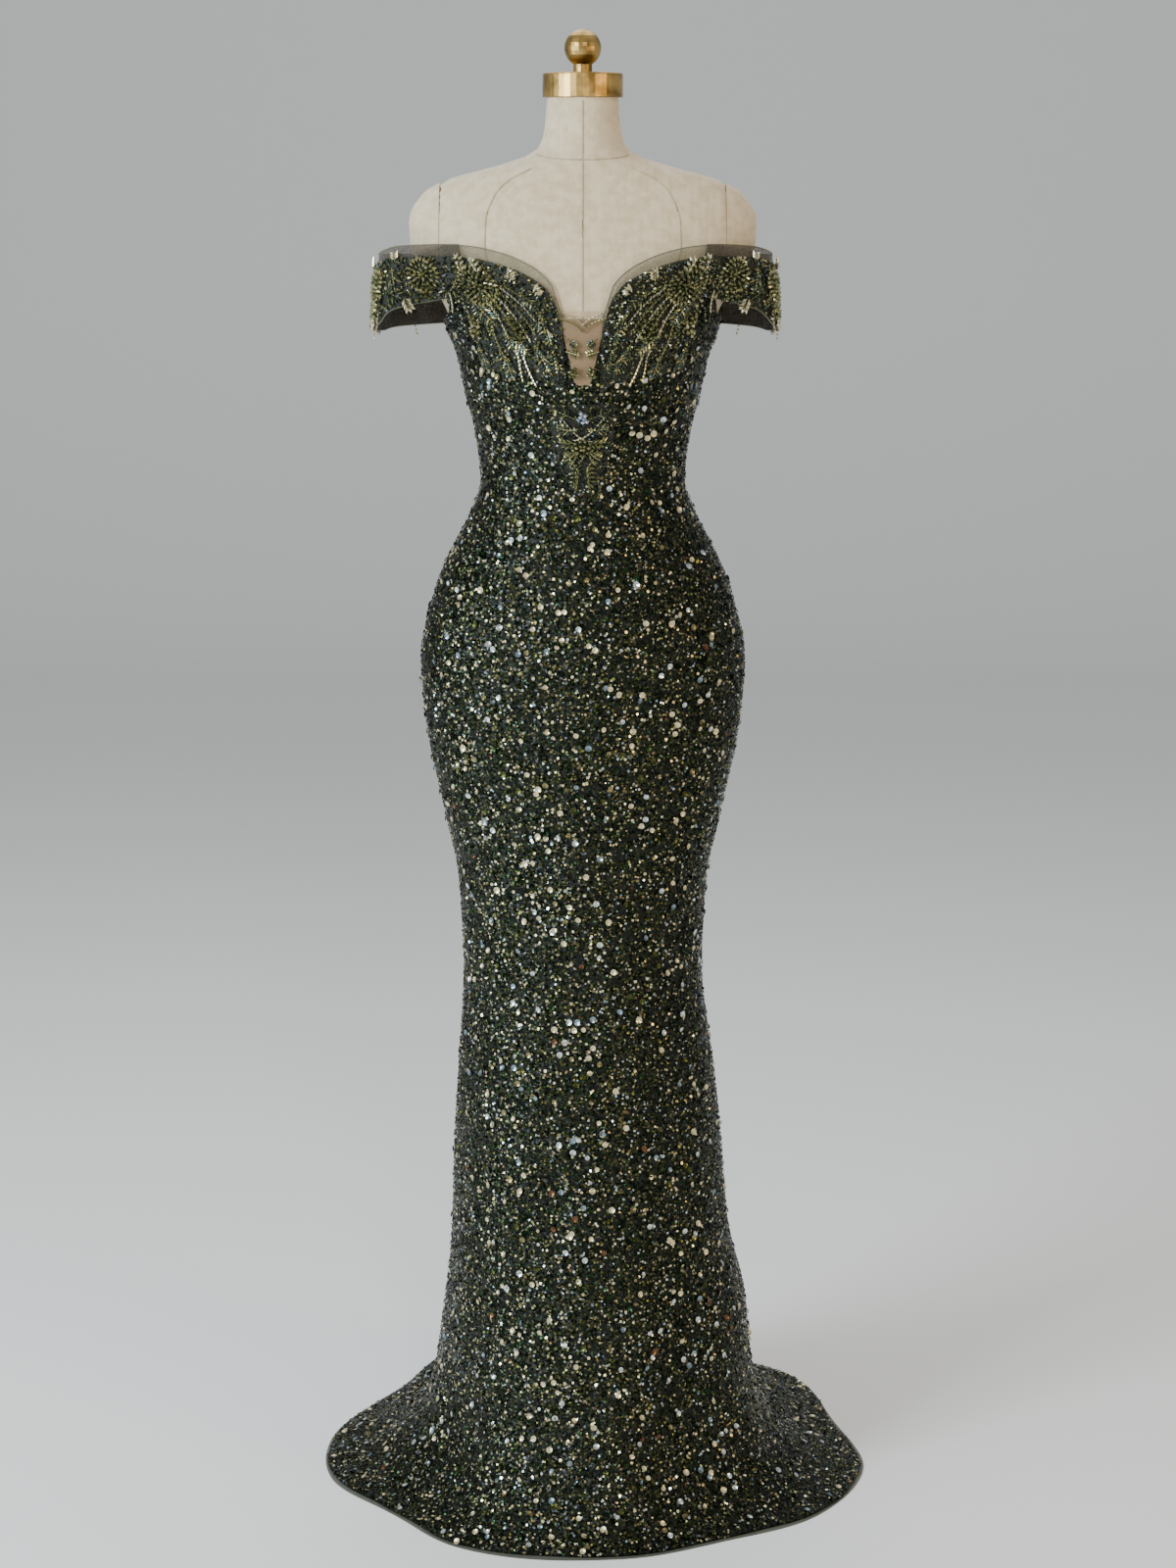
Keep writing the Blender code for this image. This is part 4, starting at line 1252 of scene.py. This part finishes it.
    def build(self, net: bpy.types.Material, finishes: Sequence[bpy.types.Material]) -> None:
        """Builds the lace of both sides, of the waist and across the inset.

        Args:
            net: Finish of the net that carries the beads.
            finishes: Finishes of the beads, in Spangle's order.
        """
        for side in Side:
            self.bust_side(side, net, finishes)
        self.waist(net, finishes)
        self.across_inset(finishes)


@dataclass
class Sleeve:
    """Off-the-shoulder band of tulle with its beaded lace."""

    side: Side
    spread: float
    lean: float = 0.06
    middle: tuple[float, float] = (0.15, 0.004)
    columns: int = 96
    rows: int = 12
    thick: float = 0.0010
    laid_on: float = 0.0008
    cord_radius: float = 0.0008
    lace_out: float = 0.0012        # from the band to the lace's face, past laid_on
    lace_thick: float = 0.0006
    lace_ends: float = 0.004        # how much shorter the lace is at each end, as a share of the band
    trim: float = 0.012             # how far the lace stays below the band's upper edge
    motifs_at: tuple[float, ...] = (0.19, 0.40, 0.61, 0.82)
    overhang: tuple[float, float] = (-0.32, 1.08)
    beads_per_m2: float = 88000.0
    shares: tuple[float, ...] = (0.22, 0.22, 0.36, 0.13, 0.05, 0.0, 0.02, 0.0)
    ribs: tuple[Rib, ...] = (
        Rib(43, 0, 0, 1.392, 1.4425), Rib(50, 0, 0, 1.388, 1.4425), Rib(0, 0.190, -0.046, 1.374, 1.4410),
        Rib(0, 0.211, -0.024, 1.358, 1.4360), Rib(0, 0.219, 0.004, 1.347, 1.4310),
        Rib(0, 0.212, 0.032, 1.346, 1.4300), Rib(0, 0.192, 0.056, 1.350, 1.4300),
        Rib(128, 0, 0, 1.356, 1.4290), Rib(136, 0, 0, 1.360, 1.4280))

    def on_rib(self, rib: Rib, heights: np.ndarray, out: float) -> np.ndarray:
        """Points up a rib.

        Args:
            rib: The rib.
            heights: Their heights.
            out: How far they stand off the band's face.

        Returns:
            The points.
        """
        side = self.side.value
        if rib.angle:
            return CUT.point(side * rib.angle, heights, self.laid_on + self.thick + out, creased=False)
        reach = rib.reach + self.spread - self.lean * (heights - rib.low)
        place = np.stack([side * reach, np.full_like(heights, rib.along), heights], -1)
        centre = place.copy()
        centre[..., 0], centre[..., 1] = side * self.middle[0], self.middle[1]
        return place + unit(place - centre) * out

    def patch(self, out: float, ends: float = 0.0, trim: float = 0.0) -> Patch:
        """Outer face of a layer of the band.

        Args:
            out: How far it stands off the band's face.
            ends: How much shorter it is at each end, as a share of the band.
            trim: How much lower its top is.

        Returns:
            The patch.
        """
        last = len(self.ribs) - 1
        where = np.linspace(last * ends, last * (1.0 - ends), self.columns + 1)
        low = smooth_table(range(last + 1), [r.low for r in self.ribs], where)
        high = smooth_table(range(last + 1), [r.high for r in self.ribs], where) - trim
        grid = []
        for place, bottom, top in zip(where, low, high):
            heights = np.linspace(bottom, top, self.rows + 1)
            start = min(int(place), last - 1)
            t = place - start
            if self.ribs[start].angle and self.ribs[start + 1].angle:
                angle = self.ribs[start].angle * (1.0 - t) + self.ribs[start + 1].angle * t
                grid.append(CUT.point(self.side.value * angle, heights, self.laid_on + self.thick + out,
                                      creased=False))
                continue
            a, b, c, d = (self.on_rib(self.ribs[min(max(start + k, 0), last)], heights, out)
                          for k in (-1, 0, 1, 2))
            grid.append(0.5 * (2 * b + (c - a) * t + (2 * a - 5 * b + 4 * c - d) * t * t
                               + (3 * b - a - 3 * c + d) * t**3))
        points = np.array(grid)
        return Patch(points if self.side is Side.RIGHT else points[::-1])

    def build(self, tulle: bpy.types.Material, net: bpy.types.Material, cord: bpy.types.Material,
              finishes: Sequence[bpy.types.Material]) -> None:
        """Builds the band, its edge cords, and the lace with its beads.

        Args:
            tulle: Finish of the band.
            net: Finish of the net that carries the beads.
            cord: Finish of the edge cords.
            finishes: Finishes of the beads, in Spangle's order.
        """
        word = self.side.word
        band = self.patch(0.0)
        shell = sew_shell(f"band_{word}", band, self.thick, tulle, [f"sleeve_{word}"])
        for row, edge in ((0, "lower"), (-1, "upper")):
            line = band.points[:, row] - band.normals[:, row] * self.thick / 2.0
            thin_cord(f"band_{word}_{edge}_cord", line, self.cord_radius, cord)
        lace = self.patch(self.laid_on + self.lace_out, self.lace_ends, self.trim)
        net_shell = sew_shell(f"net_lace_sleeve_{word}", lace, self.lace_thick, net,
                              [f"lace_sleeve_{word}"])
        work = BeadWork(lace, overhang=self.overhang)
        put = partial(work.put, mirrored=self.side is Side.LEFT)
        gold, olive, pale = Spangle.GOLD, Spangle.OLIVE, Spangle.CHAMPAGNE
        green, forest = Spangle.BOTTLE, Spangle.FOREST
        for u in self.motifs_at:
            put(u, 0.60, Motifs.sunburst(0.019, olive, gold))
            put(u + 0.08, 0.80, Motifs.leaf(0.030, 258.0, gold, green))
            put(u + 0.10, 0.42, Motifs.leaf(0.026, 226.0, olive, forest))
            put(u - 0.07, 0.40, Motifs.leaf(0.026, 304.0, gold, forest))
            put(u, 0.20, Motifs.grapes(0.0090, olive, gold))
            put(u + 0.04, 0.22, Motifs.sprig(0.020, 250.0, gold, pale))
            put(u - 0.04, 0.22, Motifs.stem(18.0, 0.026, 268.0, pale))
            put(u + 0.07, 0.88, Motifs.sprig(0.013, 84.0, gold, pale))
        work.fill(self.beads_per_m2, self.shares)
        beads = work.sew(f"beads_sleeve_{word}", finishes)
        for piece, patch, rests, extra in ((shell, band, "panel_front_side_" + word, []),
                                           (net_shell, lace, shell.name, [beads])):
            width, length, area = patch.flat()


@dataclass
class HemLining:
    """Smooth satin that shows as a narrow edge past the sequinned hem."""

    inwards: float = 0.024
    outwards: float = 0.004
    thick: float = 0.0010
    columns: int = 240

    def build(self, satin: bpy.types.Material) -> None:
        """Builds the ring of lining, flat on the floor.

        Args:
            satin: Its finish.
        """
        angles = np.linspace(0.0, 360.0, self.columns, endpoint=False)
        heights = np.full_like(angles, CUT.hem)
        edge = CUT.skin(angles, heights, creased=False)
        across = CUT.skin(angles + 0.5, heights, False) - CUT.skin(angles - 0.5, heights, False)
        away = unit(np.cross(across, [[0.0, 0.0, 1.0]]))
        rings = []
        section = ((self.outwards, 0.0), (self.outwards, self.thick), (-self.inwards, self.thick),
                   (-self.inwards, 0.0))
        for reach, height in section:
            ring = edge + away * reach
            ring[:, 2] = height
            rings.append(ring)
        n = self.columns
        faces = [[r * n + i, r * n + (i + 1) % n, (r + 1) % 4 * n + (i + 1) % n, (r + 1) % 4 * n + i]
                 for r in range(4) for i in range(n)]
        piece = new_piece("hem_satin", np.concatenate(rings), faces, satin)
        piece.data.set_sharp_from_angle(angle=math.radians(40.0))
        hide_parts("hem_lining")


# ---------------------------------------------------------------- the dress form
@dataclass
class DressForm:
    """Linen-covered torso with shoulder caps, sewn seams and a bust tape."""

    cloth: float = 0.0020
    clear: tuple[float, float] = (0.0006, 0.0042)
    clear_between: tuple[float, float] = (1.18, 1.27)
    low: float = 0.830
    top: float = 1.602
    cap_plane: float = 0.1585
    cap_from: float = 1.3645        # above it the torso ends at the plane of its shoulder caps
    cap_rows: tuple[float, float, int] = (1.365, 1.529, 32)
    seam: float = 0.0003
    thread_radius: float = 0.0009
    centre_seam: tuple[float, float, int] = (1.235, 1.598, 60)      # lowest and highest point, and how many
    princess_seam: tuple[float, float, int] = (1.30, 1.524, 44)
    princess_front: float = 36.0    # degrees from the front
    princess_back: float = 146.0
    neck_seam: float = 1.546
    neck_dip: float = 0.012         # how much lower the neck's seam is in front
    tape_rows: tuple[float, float] = (1.3665, 1.3725)
    tape_half: float = 8.0          # in degrees
    tape_thick: float = 0.0005
    columns: int = 144
    row: float = 0.008

    def skin(self, angles: np.ndarray, heights: np.ndarray, out: float = 0.0) -> np.ndarray:
        """Points of the linen's face.

        Args:
            angles: Degrees from the front.
            heights: Their heights.
            out: How far they stand off the face.

        Returns:
            The points.
        """
        start, end = self.clear_between
        t = np.clip((heights - start) / (end - start), 0.0, 1.0)
        inwards = self.cloth + self.clear[0] + (self.clear[1] - self.clear[0]) * t
        place = CUT.point(angles, heights, out - inwards, creased=False)
        place[..., 2] = heights
        return place

    def loft(self, heights: np.ndarray) -> bmesh.types.BMesh:
        """Closed mesh through level rings.

        Args:
            heights: Heights of the rings, upwards.

        Returns:
            The mesh.
        """
        angles = np.linspace(0.0, 360.0, self.columns, endpoint=False)
        grid = self.skin(angles[None] + np.zeros((len(heights), 1)),
                         heights[:, None] + np.zeros((1, len(angles))))
        shape = bmesh.new()
        rings = [[shape.verts.new(place) for place in ring] for ring in grid.tolist()]
        for lower, upper in zip(rings, rings[1:]):
            for i in range(len(angles)):
                k = (i + 1) % len(angles)
                shape.faces.new((lower[i], lower[k], upper[k], upper[i]))
        shape.faces.new(list(reversed(rings[0])))
        shape.faces.new(rings[-1])
        return shape

    def dress(self, name: str, shape: bmesh.types.BMesh, linen: bpy.types.Material, node: str) -> None:
        """Turns a closed mesh into a linen piece.

        Args:
            name: The piece's name.
            shape: Its mesh, which is used up.
            linen: Its finish.
            node: The CAD node that it stands for.
        """
        bmesh.ops.recalc_face_normals(shape, faces=shape.faces)
        mesh = bpy.data.meshes.new(name)
        shape.to_mesh(mesh)
        shape.free()
        mesh.shade_smooth()
        mesh.set_sharp_from_angle(angle=math.radians(38.0))
        mesh.materials.append(linen)
        thing = bpy.data.objects.new(name, mesh)
        bpy.context.scene.collection.objects.link(thing)
        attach(thing, GOWN_BODY)
        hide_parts(node)
        LOG.info("%s: %d faces", name, len(mesh.polygons))

    def build(self, linen: bpy.types.Material, thread: bpy.types.Material, tape: bpy.types.Material) -> None:
        """Builds the torso, the caps, the seams and the tape.

        Args:
            linen: Finish of the cover.
            thread: Finish of its seams.
            tape: Finish of the bust tape.
        """
        count = round((self.top - self.low) / self.row)
        shape = self.loft(np.linspace(self.low, self.top, count + 1))
        for vert in shape.verts:
            if vert.co.z > self.cap_from:
                vert.co.x = min(max(vert.co.x, -self.cap_plane), self.cap_plane)
        self.dress("linen_torso", shape, linen, "form_torso")
        for side in Side:
            shape = self.loft(np.linspace(*self.cap_rows))
            everything = shape.verts[:] + shape.edges[:] + shape.faces[:]
            cut = bmesh.ops.bisect_plane(
                shape, geom=everything, dist=0.00001, clear_inner=True,
                plane_co=Vector((side.value * (self.cap_plane + self.seam), 0.0, 0.0)),
                plane_no=(side.value, 0.0, 0.0))
            rim = [part for part in cut["geom_cut"] if isinstance(part, bmesh.types.BMEdge)]
            bmesh.ops.holes_fill(shape, edges=rim)
            self.dress(f"linen_shoulder_cap_{side.word}", shape, linen, f"form_shoulder_cap_{side.word}")
        self.seams(thread)
        self.tape(tape)

    def seams(self, thread: bpy.types.Material) -> None:
        """Raised seams: centre front and back, princess lines, and the neck's base.

        Args:
            thread: Their finish.
        """
        up, shoulder = np.linspace(*self.centre_seam), np.linspace(*self.princess_seam)
        lines = {"centre_front": (np.zeros_like(up), up), "centre_back": (np.full_like(up, 180.0), up)}
        for side in Side:
            lean = 4.0 * (shoulder - self.princess_seam[0]) / 0.2
            lines[f"princess_{side.word}"] = (side.value * (self.princess_front - lean), shoulder)
            lines[f"back_princess_{side.word}"] = (side.value * self.princess_back + 0.0 * shoulder, shoulder)
        around = np.linspace(0.0, 360.0, 90)
        lines["neck"] = (around, self.neck_seam - self.neck_dip * np.cos(np.radians(around)))
        for name, (angle, height) in lines.items():
            line = self.skin(angle, height, out=0.0001)
            thin_cord(f"form_seam_{name}", line, self.thread_radius, thread)

    def tape(self, material: bpy.types.Material) -> None:
        """Tape across the bust, 6 mm wide, flat on the linen."""
        angles = np.linspace(-self.tape_half, self.tape_half, 17)
        edges = [self.skin(angles, np.full_like(angles, height), 0.0008) for height in self.tape_rows]
        sew_shell("bust_tape", Patch(np.stack(edges, 1)), self.tape_thick, material, [])


@dataclass
class Metalwork:
    """Brass neck cap and ball, the stand, and the zip's slider and pull, which keep their CAD shapes."""

    nodes: dict[str, bpy.types.Object]

    def dress(self, finishes: dict[str, bpy.types.Material]) -> None:
        """Gives each node its metal.

        Args:
            finishes: The metal of each node, by the node's name.
        """
        for name, material in finishes.items():
            node = self.nodes[name]
            node.data.materials.clear()
            node.data.materials.append(material)
            LOG.info("%s: %s", name, material.name)


# ---------------------------------------------------------------- studio
@dataclass(frozen=True)
class SoftLight:
    """Square soft light that points at the gown."""

    name: str
    place: tuple[float, float, float]
    size: float
    power: float
    colour: str

    def hang(self, aim: Vector) -> None:
        """Hangs the light in its place, turned to a point."""
        lamp = bpy.data.lights.new(self.name, "AREA")
        lamp.size, lamp.energy, lamp.color = self.size, self.power, linear(self.colour)[:3]
        thing = bpy.data.objects.new(self.name, lamp)
        thing.location = self.place
        thing.rotation_euler = (aim - Vector(self.place)).to_track_quat("-Z", "Y").to_euler()
        bpy.context.scene.collection.objects.link(thing)


@dataclass
class Studio:
    """Pale floor and backdrop in one sweep, soft lights, and the camera."""

    floor_half: float = 12.0
    # past every camera that looks at the gown's back
    wall_behind: float = 7.5        # how far behind the gown's middle the wall stands
    wall_high: float = 8.0
    cove: float = 1.2               # radius of the turn from floor to wall
    cove_steps: int = 24
    aim_height: float = 0.9         # of the point at which the lights look
    world: tuple[str, float] = ("eef0f2", 0.50)
    camera_place: tuple[float, float, float] = (0.0058, -3.6, 1.5)
    camera_tilt: float = 10.55
    lens: float = 73.06
    sensor: float = 36.0
    lights: tuple[SoftLight, ...] = (
        SoftLight("window_left", (-2.6, -2.4, 2.3), 1.4, 150.0, "e9f4ff"),
        SoftLight("window_left_low", (-2.9, -1.2, 1.0), 1.2, 34.0, "e4f2ff"),
        SoftLight("lamp_front", (0.5, -3.9, 2.7), 0.5, 34.0, "fff6ea"),
        SoftLight("lamp_right", (2.5, -1.9, 1.7), 0.7, 24.0, "ffd9a4"),
        SoftLight("wall_wash", (0.0, 1.2, 3.4), 2.4, 40.0, "ffffff"))

    def sweep(self) -> None:
        """Floor that turns up into a wall."""
        bpy.ops.object.select_all(action="DESELECT")
        bpy.ops.mesh.primitive_plane_add(size=2.0 * self.floor_half,
                                         location=(0.0, self.wall_behind - self.floor_half, 0.0))
        floor = bpy.context.object
        floor.name = "floor"
        bpy.ops.object.transform_apply(location=True)
        back = self.wall_behind - 0.01
        for edge in floor.data.edges:
            edge.select = min(floor.data.vertices[i].co.y for i in edge.vertices) > back
        for polygon in floor.data.polygons:
            polygon.select = False
        for vert in floor.data.vertices:
            vert.select = vert.co.y > back
        bpy.ops.object.mode_set(mode="EDIT")
        bpy.ops.mesh.select_mode(type="EDGE")
        bpy.ops.mesh.extrude_region_move(TRANSFORM_OT_translate={"value": (0.0, 0.0, self.wall_high)})
        bpy.ops.object.mode_set(mode="OBJECT")
        bevel = floor.modifiers.new("cove", "BEVEL")
        bevel.width, bevel.segments = self.cove, self.cove_steps
        bpy.ops.object.modifier_apply(modifier=bevel.name)
        bpy.ops.object.shade_smooth()
        plaster = Finish("matt_studio_paint", "eef0ee", 0.92).make()
        floor.data.materials.append(plaster)

    def build(self) -> None:
        """Builds the sweep, the lights, the world and the camera."""
        self.sweep()
        for light in self.lights:
            light.hang(Vector((0.0, 0.0, self.aim_height)))
        world = bpy.data.worlds.new("studio")
        world.use_nodes = True
        colour, strength = self.world
        world.node_tree.nodes["Background"].inputs["Color"].default_value = linear(colour)
        world.node_tree.nodes["Background"].inputs["Strength"].default_value = strength
        bpy.context.scene.world = world
        lens = bpy.data.cameras.new("camera")
        lens.lens, lens.sensor_width = self.lens, self.sensor
        camera = bpy.data.objects.new("camera", lens)
        camera.location = self.camera_place
        camera.rotation_euler = (math.radians(90.0 - self.camera_tilt), 0.0, 0.0)
        bpy.context.scene.collection.objects.link(camera)
        bpy.context.scene.camera = camera


def main() -> None:
    """Builds the gown, the form and the studio, in the order in which they are dressed."""
    logging.basicConfig(level=logging.INFO, format="%(message)s")
    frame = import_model()
    for thing in bpy.context.selected_objects:
        thing.select_set(False)

    spangles = [finish.make() for finish in SPANGLE_FINISHES]
    crystals = [finish.make() for finish in CRYSTAL_FINISHES]
    # Net so closely sewn that only sequins show, glinting one by one.
    ground = SequinGround("sequinned_net_dark_green", "1b2a1a", 0.35, 0.62).make()
    # Nylon tulle and net, mostly open: a veil over the neckline, a brown double one on the sleeves that is
    # darker still with painted shade for the shadow inside the band, a nearly closed matt mesh in a skin tone,
    # and dark net under the beads.
    tulle = Net("grey_olive_tulle", "77745c", 0.8, sheen=0.4, cover_from=0.08, cover_to=0.50).make()
    # brown double tulle, its dark colour partly painted shade of the band's shaded inside
    band_tulle_painted_shade = Net("brown_tulle_painted_shade", "463e30", 0.8, sheen=0.2, cover_from=0.30, cover_to=0.80).make()
    nude = Net("nude_power_mesh", "8a7355", 0.85, sheen=0.2, hole_mm=1.2, cover_from=0.78,
               cover_to=0.95).make()
    lace_net = Net("corded_lace_net", "22261a", 0.7, cover_from=0.45, cover_to=0.85, hole_mm=2.2).make()
    # Rayon cord gives a soft dull line, satin a smooth broad shine.
    cord = Finish("fine_rayon_edge_cord", "5d5a40", 0.6, sheen=0.3).make()
    satin = Woven("olive_polyester_satin", "3b4026", 0.35, sheen=0.3, second="2c331e", thread_mm=1.0,
                  depth=0.08).make()
    # Undyed linen and cotton: dry and matt, with slubs that darken them here and there.
    linen = Woven("natural_linen_cover", "d6c6a6", 0.95, sheen=0.2, second="c7b591").make()
    thread = Woven("linen_seam", "b9ab8f", 0.95, second="a39577").make()
    tape = Woven("cotton_bust_tape", "c9b48e", 0.9, second="b29e7a").make()
    # Brushed brass has warm streaked highlights; powder coat and enamel hide their metal under a dull skin.
    brass = Brushed("brushed_brass", "c9a663", 0.32, 1.0).make()
    steel = Brushed("black_powder_coated_steel", "141414", 0.5, 0.3, worn="1d1d1d").make()
    zip_metal = Brushed("dark_green_zip_enamel", "28352a", 0.4, 0.8, worn="1c261d").make()

    SequinPanels().build(ground, spangles)
    SheerPieces().build(nude, tulle, cord)
    BodiceLace().build(lace_net, crystals)
    Sleeve(Side.LEFT, 0.014).build(band_tulle_painted_shade, lace_net, cord, crystals)
    Sleeve(Side.RIGHT, -0.002).build(band_tulle_painted_shade, lace_net, cord, crystals)
    HemLining().build(satin)
    DressForm().build(linen, thread, tape)
    Metalwork(frame["nodes"]).dress({
        "form_neck_cap": brass, "form_finial": brass, "stand_pole": steel, "stand_base": steel,
        "zip_slider": zip_metal, "zip_pull": zip_metal})
    Studio().build()


if __name__ == "__main__":
    main()
